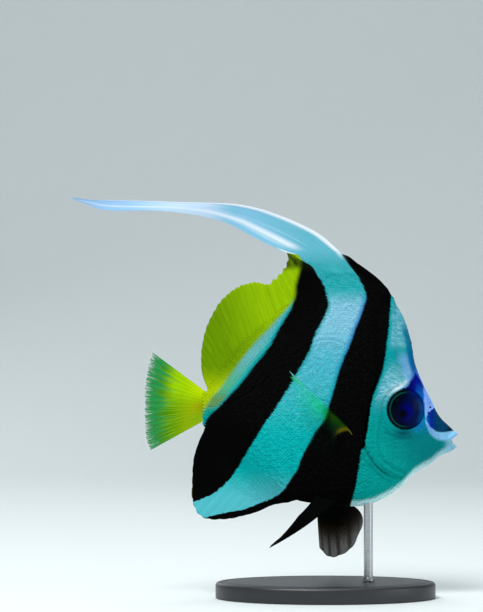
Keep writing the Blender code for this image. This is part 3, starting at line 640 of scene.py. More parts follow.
def streaks(s, back, up, long=3.2, thin=0.62):
    """Fine streaks that run back along the body and fan out from the eye."""
    tilt = up.step(4.0, 26.0) * back.step(36.0, 30.0) * -0.42 - 0.03
    return s.noise(s.vector(back / long, (up + (back - 24.0) * tilt) / thin, 0.0), 1.0, 4.0, 0.6)


def skin_material():
    """Skin under the scales; the inside of the mouth is painted dark reddish, partly its own colour and
    partly painted shade, and the nostril pits are painted dark as painted shade.
    """
    s = Shade("scaled skin", specular_ior_level=0.03)
    vector, back, up, _ = s.places()
    wobble = (s.noise(vector, 900.0, 2.0) - 0.5) * 1.6
    colour = markings(s, back, up, wobble, streaks(s, back, up))
    # Inside of the mouth: dark reddish, partly painted shade in the hollow
    colour = s.mix(s.mark("mouth"), colour, (26, 12, 16))
    # Nostril pits painted dark: painted shade in the hollows
    for b, u, radius in NOSTRILS:
        spot = ((back - b) * (back - b) + (up - u) * (up - u)).math("SQRT")
        colour = s.mix(spot.step(radius * 1.2, radius * 0.5), colour, (6, 8, 14))
    s.feed("Base Color", colour)
    fine = s.noise(vector, 2600.0, 3.0)
    s.feed("Roughness", fine * 0.2 + 0.42)
    s.relief(fine + s.noise(vector, 700.0, 2.0) * 0.7, 0.0001)
    return s.material


def scale_material():
    """Scales, each marked from the place where it grows."""
    s = Shade("scales", specular_ior_level=0.03)
    vector, own_back, own_up, _ = s.places()
    seat = s.node("ShaderNodeAttribute", {"attribute_name": "seat"}).outputs["Vector"]
    back, up, _ = s.percent(seat)
    back, up = back * 0.5 + own_back * 0.5, up * 0.5 + own_up * 0.5
    colour = markings(s, back, up, 0.0, streaks(s, back, up))
    edge = s.mark("edge")
    s.feed("Base Color", s.brighter(colour, edge * 0.05 + 0.99))
    fine = s.noise(vector, 3200.0, 2.0)
    s.feed("Roughness", fine * 0.2 + 0.4 + edge * 0.08)
    s.relief(fine + s.noise(vector, 5200.0, 1.0) * 0.5, 0.00004)
    return s.material


def fin_material(name, tint=None, alpha=None, ridged=0.5):
    """Fin with rays over a membrane; tint and alpha change it from the body's markings."""
    s = Shade(name, specular_ior_level=0.03)
    vector, back, up, _ = s.places()
    ray, height = s.rays()
    phase = ray.math("FRACT") - 0.5
    ridge = (0.5 - phase.math("ABSOLUTE")).step(0.3, 0.02)
    wobble = (s.noise(vector, 900.0, 2.0) - 0.5) * 1.2
    lengthwise = s.noise(s.vector(ray * 2.6, height * 3.0, 0.0), 1.0, 4.0, 0.65)
    if tint is None:
        colour = markings(s, back, up, wobble, lengthwise)
    else:
        colour = tint(s, ray, height, back, up, lengthwise)
    joints = s.noise(s.vector(ray * 1.3, height * 95.0, 2.0), 1.0, 1.0)
    light = ridge * (joints * 0.3 + 0.05) * ridged + (lengthwise - 0.5) * 0.24 + 1.0 - 0.1 * ridged
    s.feed("Base Color", s.brighter(colour, light))
    s.feed("Roughness", lengthwise * 0.25 + 0.4)
    if alpha is not None:
        s.feed("Alpha", alpha(s, ray, height, ridge))
    s.relief(joints * ridge * 0.6 + lengthwise, 0.00006)
    return s.material


def black_tint(s, ray, height, back, up, grain):
    """Black pelvic fin, smoky at its edge."""
    return s.mix(height.step(0.8, 1.0) * grain, (1, 2, 2), (44, 38, 22))


def spread_tint(s, ray, height, back, up, grain):
    """Spread pelvic fin: black at its root, smoky brown towards its edge."""
    return s.mix(height.step(0.4, 0.85), (1, 2, 2), s.mix(grain, (14, 10, 6), (58, 42, 24)))


def spread_alpha(s, ray, height, ridge):
    clear = height.step(0.5, 0.95)
    return 1.0 - clear * 0.3 + ridge * clear * 0.15


def spinous_tint(s, ray, height, back, up, grain):
    """Markings of the body, olive lobes behind the pennant and a painted white highlight along the edge
    that leads up to it.
    """
    wobble = (grain - 0.5) * 0.8
    colour = markings(s, back, up, wobble, grain)
    rear = (back - s.line(up, REAR_FRONT)).step(0.0, 0.9)
    spine = 1.0 - (ray.math("FRACT") - 0.5).hill(0.1) * 0.8
    smoke = up.step(67.6, 71.0) * (back - up * 0.4).step(48.0, 43.0) * rear
    colour = s.mix(smoke * (grain * 1.2 + 0.2).under(1.0), colour, (12, 22, 4))
    colour = s.mix((ray - 5.1).hill(0.5) * height.step(0.84, 0.93) * rear * spine, colour, (84, 112, 2))
    colour = s.mix((ray - 6.1).hill(0.42) * height.step(0.86, 0.95) * rear * spine, colour, (72, 92, 2))
    colour = s.mix((ray - 7.1).hill(0.4) * height.step(0.88, 0.97) * spine * 0.6, colour, (80, 100, 2))
    # Painted highlight along the edge that leads up to the pennant
    return s.mix((ray - 3.72).hill(0.2) * height.step(0.7, 0.95) * 0.85, colour, (216, 232, 242))


def pennant_tint(s, ray, height, back, up, grain):
    """Silky white painted bluish with the cast of the light, with painted highlights in bright streaks and
    along both edges, and painted shade in blue streaks along the filament.
    """
    silk_sheen_and_shade = s.noise(s.vector(ray * 0.9, height * 2.2, 4.0), 1.0, 3.0, 0.6)
    base = s.mix(back.step(58.0, 92.0), fin_teal(s, up, grain), (128, 188, 218))
    base = s.mix(back.step(92.0, 104.0), base, (186, 210, 234))
    base = s.mix(back.step(110.0, 136.0), base, (140, 184, 224))
    out = height.step(0.0, 0.09)
    far = back.step(90.0, 116.0)
    # Painted highlight along the upper edge
    top = ray.step(2.6, 1.2) * height.step(-0.035, 0.015) * (1.0 - far * 0.7)
    # Painted highlight streaks along the lower part and the lower edge
    low = (ray - 10.6 + far * 2.0).hill(1.3) * height.step(0.03, 0.1) * (0.9 - far * 0.45)
    low = low + ray.step(13.4, 14.2) * back.step(76.0, 70.0) * height.step(0.0, 0.03)
    base = s.mix((top + low).times(0.95), base, (228, 236, 247))
    # Folds: lighter streaks are painted highlights, bluer streaks painted shade
    base = s.mix((silk_sheen_and_shade - 0.52).times(3.0) * out, base, (200, 220, 240))
    return s.mix((0.42 - silk_sheen_and_shade).times(2.0) * out, base, (84, 160, 190))


def pectoral_tint(s, ray, height, back, up, grain):
    """Green leading part, olive arc round the root, a film with the body's colours below and a painted
    highlight at the tip of the leading ray.
    """
    beyond = back - s.line(up, BAND_BACK)
    pale = beyond.step(-0.6, 0.9)
    lead = ray.step(9.5, 3.0) * height.step(0.05, 0.16)
    film = s.mix(pale, (0, 20, 15), (20, 164, 164))
    over_white = s.mix(beyond.step(4.5, 0.6), (6, 202, 124), (0, 150, 56))
    green = s.mix(pale, s.mix(ray.step(6.0, 1.0), (2, 42, 4), (22, 64, 2)), over_white)
    colour = s.mix(lead, film, green)
    shady = beyond.step(0.6, -0.6) * ray.step(2.4, 0.9) * height.step(0.15, 0.24)
    colour = s.mix(shady * 0.8, colour, (2, 24, 2))
    # Painted highlight at the tip of the leading ray
    colour = s.mix(ray.step(1.4, 0.8) * height.step(0.88, 0.94), colour, (84, 180, 168))
    curve = height - 0.1 - ray * 0.024
    arc = (curve * 19.0).hill(1.0) * ray.step(11.0, 5.0)
    colour = s.mix(arc * (grain * 0.5 + 0.6), colour, (98, 88, 2))
    colour = s.mix((curve + 0.04).step(0.0, -0.03) * ray.step(1.2, 2.0), colour, (1, 2, 1))
    return s.mix(ray.step(1.6, 0.9) * height.step(0.14, 0.07), colour, (104, 112, 2))


def pectoral_alpha(s, ray, height, ridge):
    lead = ray.step(8.5, 2.2) * ray.step(0.2, 2.2) * height.step(0.95, 0.5) * 0.46
    edge = ray.step(1.9, 0.8) * height.step(0.86, 0.94) * 0.6
    root = height.step(0.56, 0.34) * (ray.step(10.0, 5.0) * 0.45 + 0.45) + height.step(0.2, 0.12)
    return (lead + edge + root + 0.07 + ridge * 0.03).under(1.0)


def fray(s, ray, height):
    """Fine streaks along the tail's rays, about 0.5."""
    return s.noise(s.vector(ray * 3.2, height * 2.2, 7.0), 1.0, 3.0, 0.6)


def caudal_tint(s, ray, height, back, up, grain):
    """Yellow tail, brightest in its upper half, greener and finely streaked towards the edge."""
    fine = fray(s, ray, height)
    out = height + (fine - 0.5) * 1.1
    colour = s.mix(height.step(0.15, 0.65), (146, 172, 2), (80, 138, 2))
    colour = s.mix(ray.step(9.5, 3.0) * height.step(0.78, 0.5), colour, (152, 200, 0))
    colour = s.mix(ray.step(7.0, 1.5) * height.step(0.5, 0.05), colour, (184, 212, 0))
    colour = s.mix((ray - 8.5).hill(3.0) * height.step(0.34, 0.08) * 0.6, colour, (150, 140, 2))
    colour = s.mix((ray - 13.5).hill(3.0) * height.step(0.4, 0.12) * 0.5, colour, (104, 158, 20))
    colour = s.mix((fine - 0.46).times(4.0) * height.step(0.2, 0.6), colour, (148, 190, 24))
    colour = s.mix((0.44 - fine).times(4.0) * height.step(0.2, 0.6), colour, (40, 116, 10))
    colour = s.mix(out.step(0.58, 0.86) * 0.9, colour, (0, 142, 72))
    return s.mix((height * 18.0 + (ray - 8.0) * 0.06).step(0.9, 0.1), colour, (96, 156, 120))


def caudal_alpha(s, ray, height, ridge):
    ragged = (height + (0.5 - fray(s, ray, height)) * 0.7).step(0.86, 1.04)
    return 1.0 - ragged * 0.8 - height.step(0.6, 0.9) * 0.12 + ridge * ragged * 0.1


def eye_material():
    """Dark eye: black rim with a thin green ring behind, a blue rim ahead painted as a reflection, navy
    iris with a painted blue glint beside the pupil, and black pupil.
    """
    s = Shade("eye", coat_weight=0.02, coat_roughness=0.04, specular_ior_level=0.02)
    vector, back, up, _ = s.places()
    radius = s.mark("radius")
    ahead = (EYE_BACK - back) / (EYE_RADIUS * EYE_NARROW)
    above = (up - EYE_UP) / EYE_RADIUS
    grain = s.noise(vector, 1500.0, 3.0)
    pupil = ((ahead + 0.14) * (ahead + 0.14) + (above + 0.2) * (above + 0.2)).math("SQRT")
    iris = s.mix(ahead.step(-0.3, 0.7), (0, 4, 26), (0, 18, 60))
    # Painted blue glint just ahead of the pupil
    iris = s.mix((ahead - 0.08).hill(0.3) * (above + 0.12).hill(0.42), iris, (0, 0, 112))
    iris = s.mix((above * 0.6 - ahead).step(0.3, 0.8), iris, (0, 5, 10))
    iris = s.mix(grain * 0.2, iris, (0, 12, 40))
    colour = s.mix(pupil.step(0.12, 0.34), (0, 0, 14), iris)
    # Blue crescent along the rim ahead: a painted reflection
    front = (ahead + above * 0.35).step(0.15, 0.75)
    blue = s.mix(above.step(0.1, 0.7), (0, 62, 128), (0, 22, 92))
    colour = s.mix(radius.step(0.6, 0.98) * front, colour, blue)
    behind = ahead.step(0.2, -0.2)
    colour = s.mix(radius.step(0.72, 0.78) * behind, colour, (0, 2, 4))
    colour = s.mix(radius.step(0.79, 0.83) * radius.step(0.91, 0.87) * behind, colour, (4, 60, 58))
    rim = s.mix(radius.step(0.94, 0.99), (0, 2, 4), (0, 38, 42))
    rim = s.mix(ahead.step(-0.2, 0.5), rim, (0, 22, 52))
    colour = s.mix(radius.step(0.88, 0.92) * (ahead + above * 0.35).step(0.45, 0.1), colour, rim)
    s.feed("Base Color", colour)
    s.feed("Roughness", grain * 0.06 + 0.24)
    return s.material


def base_material(settings):
    """Satin black paint with a faint grain."""
    s = Shade("satin black paint", coat_weight=0.15, coat_roughness=0.35)
    vector, _, _, _ = s.places()
    grain = s.noise(vector, 1400.0, 4.0)
    cloud = s.noise(vector, 60.0, 3.0)
    s.feed("Base Color", s.mix(cloud, (*settings.paint_dark, 1.0), (*settings.paint_light, 1.0)))
    s.feed("Roughness", grain * 0.16 + cloud * 0.1 + 0.3)
    s.relief(grain, 0.00004)
    return s.material


def rod_material(settings):
    """Steel brushed round the rod."""
    s = Shade("brushed steel", metallic=1.0)
    vector, _, _, _ = s.places()
    x, y, z = (Num(s, part) for part in s.node("ShaderNodeSeparateXYZ", {}, vector).outputs)
    brushed = s.noise(s.vector(x * 90.0, y * 90.0, z * 5200.0), 1.0, 3.0)
    s.feed("Base Color", s.mix(brushed, (*settings.steel_dark, 1.0), (*settings.steel_light, 1.0)))
    s.feed("Roughness", brushed * 0.2 + 0.2)
    s.relief(brushed, 0.00002)
    return s.material


def floor_material(settings):
    """Plain pale studio paper."""
    s = Shade("studio paper", specular_ior_level=0.1)
    vector, _, _, _ = s.places()
    grain = s.noise(vector, 900.0, 3.0)
    s.feed("Base Color", s.mix(grain, (*settings.paper_dark, 1.0), (*settings.paper_light, 1.0)))
    s.feed("Roughness", grain * 0.1 + 0.8)
    s.relief(grain, 0.00005)
    return s.material


# Body
def build_skin(settings):
    """One closed skin over head, torso and tail base, with an open mouth."""
    v = 0.5 - 0.5 * np.cos(np.pi * np.linspace(0.0, 1.0, settings.heights))
    top_share, foot_share = TOP.share(GILL_TOP), BOTTOM.share(GILL_FOOT)
    rows = []
    for k in np.linspace(0.0, 1.0, settings.head_stations) ** 1.5:
        top, foot = TOP.along(k * top_share), BOTTOM.along(k * foot_share)
        line = foot + v[:, None] * (top - foot)
        line[:, 0] += smooth((k - 0.35) / 0.65) * gill_bow(v)
        gape = max(0.0, 1.0 - k / MOUTH_SHARE) * (1.0 - np.abs(2.0 * v - 1.0))
        line += gape[:, None] * (np.array(MOUTH_CORNER) - 0.5 * (top + foot))
        rows.append(line)
    for k in np.linspace(0.0, 1.0, settings.torso_stations + 1)[1:]:
        top = TOP.along(top_share + k * (1.0 - top_share))
        foot = BOTTOM.along(foot_share + k * (1.0 - foot_share))
        line = foot + v[:, None] * (top - foot)
        line[:, 0] += smooth(1.0 - k / 0.45) * gill_bow(v)
        rows.append(line)
    side_view = np.array(rows)
    back, up = side_view[..., 0], side_view[..., 1]
    y = skin_width(back, up)
    lip = np.hypot(back - back[0], up - up[0])
    lip = np.where(np.arange(len(rows))[:, None] < settings.head_stations // 2, lip, 50.0)
    bead = settings.lip_radius
    y = y * (0.62 + 0.38 * np.sqrt(1.0 - (1.0 - np.clip(lip / bead, 0.0, 1.0)) ** 2))
    y = y + np.minimum(1.0, y) * (0.4 * bump(lip - 0.9 * bead, 0.8) - 0.3 * bump(lip - 2.6 * bead, 0.55))
    y[:, 0] = y[:, -1] = 0.0
    y[-1] = 0.0
    y[-6:-1] *= np.sqrt(1.0 - np.linspace(0.15, 0.9, 5) ** 2)[:, None]
    stations, heights = y.shape
    sides = [place(back, up, -y), place(back, up, y)]

    across = np.linspace(-1.0, 1.0, settings.mouth_columns)
    deep = settings.mouth_depth * (1.0 - across[:, None] ** 2) * np.sin(np.pi * v)[None, :] ** 0.6
    cap_up = up[0] + 0.12 * deep * (MOUTH_CORNER[1] - up[0])
    mouth = place(back[0] + deep, cap_up, across[:, None] * y[0])
    inner = np.clip(1.6 * (1.0 - np.abs(across[:, None])) * np.sin(np.pi * v)[None, :], 0.0, 1.0)

    faces = [grid_faces(stations, heights), grid_faces(stations, heights, stations * heights, True),
             grid_faces(len(across), heights, 2 * stations * heights)]
    points = np.concatenate([sides[0].reshape(-1, 3), sides[1].reshape(-1, 3), mouth.reshape(-1, 3)])
    # Mouth mark: the material paints these points dark reddish, partly as painted shade in the hollow
    dark = np.concatenate([np.zeros(2 * stations * heights), inner.ravel()])
    skin = new_object("coralfish_skin", points, np.concatenate(faces), {"mouth": dark}, weld=True)
    finish_piece(skin, skin_material(), "skin", "head", "torso", "tail_base")


# Scales
def flow(back, up):
    """Direction in side view in which the scales point: along the body's lines, tips to the tail."""
    height = body_height(back, up)
    slope = [(line.up_at(back + 1.5) - line.up_at(back - 1.5)) / 3.0 for line in (BOTTOM, TOP)]
    angle = np.arctan(slope[0]) * (1.0 - height) + np.arctan(slope[1]) * height
    return 0.8 * np.clip(angle, -1.1, 1.1)


def lattice(pitch, low, high):
    """Staggered places over a box in side view."""
    places = []
    for i, up in enumerate(np.arange(low[1], high[1], 0.5 * pitch)):
        backs = np.arange(low[0], high[0], pitch) + (0.5 * pitch if i % 2 else 0.0)
        places.append(np.stack([backs, np.full(len(backs), up)], axis=1))
    return np.concatenate(places)


def body_seeds(side, settings, rng):
    """Roots of the scales of one flank: places, turns, sizes and map places."""
    pitch, small = settings.pitch * MM, settings.head_pitch * MM
    body = lattice(pitch, (18.0, -30.0), (105.0, 62.0))
    head = lattice(small, (4.0, -30.0), (40.0, 62.0))
    ahead = [GILL.back_at(p[:, 1]) - p[:, 0] for p in (body, head)]
    body = body[(ahead[0] < -0.1 * pitch)]
    head = head[(ahead[1] > 0.4 * small) & (head[:, 0] > 7.5 + 0.25 * np.abs(head[:, 1] + 2.0))]
    seeds = np.concatenate([body, head])
    size = np.concatenate([np.full(len(body), pitch), np.full(len(head), small)])
    back, up = seeds.T
    rim_top = np.where(back > GILL_TOP + 0.5, 0.0, np.where(back < 16.0, 1.3, 0.6) * size)
    rim_low = np.where(back > ANAL[0][0], 0.0, 0.6 * size)
    inside = (up < TOP.up_at(back) - rim_top) & (up > BOTTOM.up_at(back) + rim_low) & (back < 103.6)
    inside &= np.hypot(back - EYE_BACK, up - EYE_UP) > EYE_RADIUS + 1.7
    for b, u, radius in NOSTRILS:
        inside &= np.hypot(back - b, up - u) > 2.6 * radius + 0.5
    seeds, size = seeds[inside], size[inside]
    seeds = seeds + rng.normal(0.0, 0.04, seeds.shape) * size[:, None]
    back, up = seeds.T
    narrow = np.clip((TOP.up_at(back) - BOTTOM.up_at(back)) / 30.0, 0.8, 1.0)
    return turned_seeds(back, up, size * narrow, side)


def turned_seeds(back, up, size, side):
    """Seat the scales on the skin with their tips along the flow."""
    angle = flow(back, up)
    step = 0.4

    def point(along, across):
        b = back + along * np.cos(angle) - across * np.sin(angle)
        u = up + along * np.sin(angle) + across * np.cos(angle)
        return place(b, u, side * np.maximum(skin_width(b, u), 0.05))

    tip = point(step, 0.0) - point(-step, 0.0)
    up_way = point(0.0, step) - point(0.0, -step)
    seat = place(back, up, side * skin_width(back, up))
    share = np.stack([0.02 + 0.46 * back / 106.0 + (0.5 if side > 0 else 0.0),
                      0.05 + 0.9 * (up + 30.0) / 92.0], axis=1)
    return seat, tip, up_way * side, size * PERCENT, share


def fin_seeds(pairs, edge, limit, first, side, settings, fins, rng):
    """Roots of the scales that climb from the body over the lower part of a fin."""
    pitch = settings.fin_pitch * MM
    roots = np.array([(b, float(edge.up_at(b))) for b, _ in pairs])
    tips = np.array([tip for _, tip in pairs])
    t = np.linspace(0.0, 1.0, 90)
    roots, tips = spline(roots, t), spline(tips, t)
    low, high = np.minimum(roots, tips).min(0), np.maximum(roots, tips).max(0)
    seeds = lattice(pitch, low, high)
    seeds = seeds + rng.normal(0.0, 0.04, seeds.shape) * pitch
    way = tips - roots
    length = np.linalg.norm(way, axis=1)
    off = seeds[:, None, :] - roots[None]
    along = (off * way[None]).sum(2) / length[None] ** 2
    away = np.linalg.norm(off - along[..., None] * way[None], axis=2)
    away += 100.0 * ((along < -0.1) | (along > 1.0))
    near = away.argmin(1)
    height = along[np.arange(len(seeds)), near]
    chosen = (away.min(1) < 0.9) & (height > -0.8 * MM / length[near]) & (near >= first)
    chosen &= height < limit * rng.uniform(0.8, 1.0, len(seeds))
    seeds, near, height = seeds[chosen], near[chosen], height[chosen]
    mm = height * length[near] / MM
    body = fins.membrane_half * (1.0 - 0.45 * height)
    fade = np.clip(height / limit, 0.0, 1.0)
    half = body + (fins.root_half - body) * np.clip(1.0 - mm / fins.root_fade, 0.0, 1.0) ** 2
    half = (half + 0.02 * (1.0 - 1.5 * fade)) * MM
    back, up = seeds.T
    angle, turn = flow(back, up), smooth(mm / 7.0)[:, None]
    along_body = np.stack([np.cos(angle), np.sin(angle)], axis=1)
    direction = way[near] / length[near][:, None] * turn + along_body * (1.0 - turn)
    direction /= np.linalg.norm(direction, axis=1)[:, None]
    tip = place(back + direction[:, 0], up + direction[:, 1], 0.0) - place(back, up, 0.0)
    tip[:, 1] = side * -0.02 * PERCENT
    up_way = place(back - direction[:, 1], up + direction[:, 0], 0.0) - place(back, up, 0.0)
    share = np.stack([0.02 + 0.46 * back / 130.0 + (0.5 if side > 0 else 0.0),
                      np.clip(0.05 + 0.9 * (up + 40.0) / 120.0, 0.0, 1.0)], axis=1)
    size = pitch * PERCENT * (1.0 - 0.2 * fade - 0.5 * fade ** 3)
    return place(back, up, side * half), tip, up_way * side, size, share


def turns(tip, up_way):
    """Euler angles that lay local +X along the tip and local +Z out of the skin."""
    x = tip / np.linalg.norm(tip, axis=1)[:, None]
    z = np.cross(up_way, x)
    z /= np.linalg.norm(z, axis=1)[:, None]
    y = np.cross(z, x)
    return np.stack([np.arctan2(y[:, 2], z[:, 2]), -np.arcsin(np.clip(x[:, 2], -1.0, 1.0)),
                     np.arctan2(x[:, 1], x[:, 0])], axis=1)


def scale_shape(settings):
    """One closed scale, root at the origin and tip along +X, one unit wide."""
    long, rise, thick = settings.overlap, settings.rise, 0.07
    outline = [(-0.25, 0.0), (0.1, 0.45), (0.55, 0.48), (0.86, 0.3), (1.0, 0.0), (0.86, -0.3),
               (0.55, -0.48), (0.1, -0.45)]
    points, edge = [], []
    for drop in (0.0, thick):
        for x, y in outline:
            lift = rise * (0.25 + 0.75 * max(x, 0.0)) - 0.05 - 0.1 * abs(y)
            points.append((x * long, y, lift - drop))
            edge.append(1.0 if x > 0.5 else 0.2)
    points += [(x * long, 0.0, rise * (0.3 + 0.75 * x) + 0.02) for x in (0.05, 0.5)]
    points.append((0.4 * long, 0.0, -2.0 * thick))
    edge += [0.0, 0.0, 0.0]
    count = len(outline)
    front, rear, under = 2 * count, 2 * count + 1, 2 * count + 2
    faces = []
    for i in range(count):
        j = (i + 1) % count
        near = front if i in (0, count - 1) else rear
        faces += [(i, j, near), (i + count, under, j + count), (i, i + count, j + count), (i, j + count, j)]
    faces += [(1, rear, front), (count - 1, front, rear)]
    return points, edge, faces


def scale_tree(name):
    """Geometry nodes that set a scale on every seed and join them into one mesh."""
    tree = bpy.data.node_groups.new(name, "GeometryNodeTree")
    for label, kind in (("Seeds", "Geometry"), ("Shape", "Object"), ("Size", "Float"), ("Uneven", "Float"),
                        ("Seed", "Int"), ("Material", "Material")):
        tree.interface.new_socket(label, in_out="INPUT", socket_type="NodeSocket" + kind)
    tree.interface.new_socket("Coat", in_out="OUTPUT", socket_type="NodeSocketGeometry")

    def node(kind, **settings):
        made = tree.nodes.new(kind)
        for label, value in settings.items():
            setattr(made, label, value)
        return made

    given, result = node("NodeGroupInput"), node("NodeGroupOutput")
    info = node("GeometryNodeObjectInfo")
    turn = node("GeometryNodeInputNamedAttribute", data_type="FLOAT_VECTOR")
    turn.inputs["Name"].default_value = "turn"
    size = node("GeometryNodeInputNamedAttribute", data_type="FLOAT")
    size.inputs["Name"].default_value = "size"
    rotation = node("FunctionNodeEulerToRotation")
    spread = node("FunctionNodeRandomValue", data_type="FLOAT")
    low, high, product, whole = (node("ShaderNodeMath", operation=operation)
                                 for operation in ("SUBTRACT", "ADD", "MULTIPLY", "MULTIPLY"))
    instance = node("GeometryNodeInstanceOnPoints")
    real, cover = node("GeometryNodeRealizeInstances"), node("GeometryNodeSetMaterial")
    low.inputs[0].default_value = high.inputs[0].default_value = 1.0
    ends = [socket for socket in spread.inputs if socket.type == "VALUE" and socket.name in ("Min", "Max")]
    tree.links.new(low.outputs[0], ends[0])
    tree.links.new(high.outputs[0], ends[1])
    drawn = next(socket for socket in spread.outputs if socket.type == "VALUE")
    tree.links.new(drawn, whole.inputs[1])
    for source, out, target, into in (
            (given, "Uneven", low, 1), (given, "Uneven", high, 1), (given, "Seed", spread, "Seed"),
            (given, "Shape", info, "Object"), (turn, "Attribute", rotation, 0),
            (size, "Attribute", product, 0), (given, "Size", product, 1), (product, 0, whole, 0),
            (given, "Seeds", instance, "Points"), (info, "Geometry", instance, "Instance"),
            (rotation, 0, instance, "Rotation"), (whole, 0, instance, "Scale"), (instance, 0, real, 0),
            (real, 0, cover, 0), (given, "Material", cover, "Material"), (cover, 0, result, 0)):
        tree.links.new(source.outputs[out], target.inputs[into])
    return tree


def build_coat(name, tree, shape, material, seeds, settings):
    """One piece of the coat of scales as a plain mesh with its own map."""
    seat, tip, up_way, size, share = seeds
    mesh = bpy.data.meshes.new(name + "_seeds")
    mesh.from_pydata(seat.tolist(), [], [])
    for label, values in (("turn", turns(tip, up_way)), ("size", size), ("seat", seat),
                          ("share", np.pad(share, ((0, 0), (0, 1))))):
        mark_points(mesh, label, values)
    carrier = put(name + "_seeds", mesh)
    modifier = carrier.modifiers.new("scales", "NODES")
    modifier.node_group = tree
    given = {"Shape": shape, "Size": settings.size, "Uneven": settings.uneven, "Seed": settings.seed,
             "Material": material}
    for item in tree.interface.items_tree:
        if item.name in given:
            modifier[item.identifier] = given[item.name]
    graph = bpy.context.evaluated_depsgraph_get()
    coat = bpy.data.meshes.new_from_object(carrier.evaluated_get(graph), preserve_all_data_layers=True,
                                           depsgraph=graph)
    bpy.data.objects.remove(carrier, do_unlink=True)
    if len(coat.polygons) == 0:
        raise RuntimeError(name + ": the seeds made no scales")
    coat.name = name
    lay_map(coat, "OFBake", flat_marks(coat, "share") + flat_marks(coat, "local") * settings.patch)
    coat.shade_smooth()
    finish_piece(put(name, coat), material, "skin")


def build_scales(settings):
    """Coat of scales: pieces for the head, the body and the fins on each flank."""
    rng = np.random.default_rng(settings.seed)
    points, edge, faces = scale_shape(settings)
    shape = new_object("scale_shape", points, faces, {"edge": edge})
    mark_points(shape.data, "local", points)
    tree = scale_tree("scale coat")
    material = scale_material()
    fins = bpy.context.scene.coralfish_fins
    for side, name in ((-1, "right"), (1, "left")):
        body = body_seeds(side, settings, rng)
        head = GILL.back_at((body[0][:, 2] - SNOUT_Z) / PERCENT) > (SNOUT_X - body[0][:, 0]) / PERCENT
        build_coat("scales_head_" + name, tree, shape, material, [part[head] for part in body], settings)
        build_coat("scales_body_" + name, tree, shape, material, [part[~head] for part in body], settings)
        parts = [fin_seeds(*group, side, settings, fins, rng) for group in
                 ((SPINES, TOP, 0.5, 7), (SOFT_DORSAL, TOP, 0.42, 0), (ANAL, BOTTOM, 0.5, 4))]
        build_coat("scales_fins_" + name, tree, shape, material,
                   [np.concatenate(group) for group in zip(*parts)], settings)
    bpy.data.objects.remove(shape, do_unlink=True)


# Fins
def ray_grid(keys, u, v):
    """Points (u, v, 3) of bent rays; each key holds a ray's root, middle and tip in percent."""
    root, middle, tip = (spline([key[i] for key in keys], u)[:, None, :] for i in range(3))
    v = v[None, :, None]
    return (1 - v) ** 2 * root + 2 * v * (1 - v) * middle + v ** 2 * tip


def ray_columns(rays, per):
    """Numbers of a fin's columns, whole on a ray, and how far each is from its ray, 1 between two."""
    number = np.linspace(0.0, rays - 1, (rays - 1) * per + 1)
    return number, np.abs(number - np.round(number)) * 2.0


def ray_relief(number, v, wide=0.12, first=0.35, second=0.68):
    """Ridge height 0 to 1 of rays that branch twice on their way out."""
    phase = number[:, None] - np.round(number)[:, None]
    one, two = 0.15 * smooth((v - first) / 0.25), 0.07 * smooth((v - second) / 0.2)
    narrow = wide * (1.0 - 0.45 * smooth((v - first) / 0.3) - 0.2 * smooth((v - second) / 0.3))
    return np.max([bump(phase - a * one - b * two, narrow) for a in (-1, 1) for b in (-1, 1)], axis=0)


def fin_half(relief, height_mm, v, settings, root=None, ray=None):
    """Half thickness in metres: membrane and rays, thick at the root and thin at the edge."""
    root = settings.root_half if root is None else root
    ray = settings.ray_half if ray is None else ray
    body = settings.membrane_half + (ray - settings.membrane_half) * relief
    foot = np.clip(1.0 - height_mm / settings.root_fade, 0.0, 1.0) ** 2
    half = body * (1.0 - 0.45 * v[None, :]) + (root - body) * foot
    half = half * np.sqrt(np.clip((1.02 - v) / 0.06, 0.04, 1.0))[None, :]
    return half * 0.001


def median_fin(name, pairs, rays, wave, material, slot, node, settings, spines=0, rough_edge=0.014,
               sink=2.4):
    """Soft-rayed fin on the midline with its root sunk in the body."""
    rng = np.random.default_rng(settings.seed + rays)
    number, phase = ray_columns(rays, settings.columns)
    u = number / (rays - 1)
    keys = [((*root, 0.0), (0.5 * (root[0] + tip[0]), 0.5 * (root[1] + tip[1]), 0.0), (*tip, 0.0))
            for root, tip in pairs]
    ends = ray_grid(keys, u, np.array([0.0, 1.0]))
    lengths = np.linalg.norm(ends[:, 1] - ends[:, 0], axis=1)
    ragged = rng.uniform(0.0, 0.6 * rough_edge, rays)[np.round(number).astype(int)]
    reach = 1.0 - rough_edge * phase ** 1.5 - ragged
    reach = np.where(number < spines, 1.0 - 0.14 * phase ** 0.9, reach)
    start = -sink * MM / np.maximum(lengths, 1.0)
    v = np.linspace(0.0, 1.0, settings.rows)
    grid = np.zeros((len(u), len(v), 3))
    for c in range(len(u)):
        grid[c] = ray_grid(keys, u[c:c + 1], start[c] + v * (reach[c] - start[c]))[0]
    along = start[:, None] + v[None, :] * (reach - start)[:, None]
    grid[..., 2] = wave * np.sin(7.0 * u[:, None] + 1.5 * along) * np.clip(along, 0.0, 1.0) ** 2
    relief = ray_relief(number, along)
    stout = np.where(number[:, None] < spines - 0.5, bump(0.5 * phase[:, None], 0.2), relief)
    height_mm = np.clip(along, 0.0, 1.0) * lengths[:, None] / MM
    half = fin_half(stout, height_mm, v, settings)
    thing = sheet(name, place(grid[..., 0], grid[..., 1], grid[..., 2]), half, number, along)
    finish_piece(thing, material, slot, node)


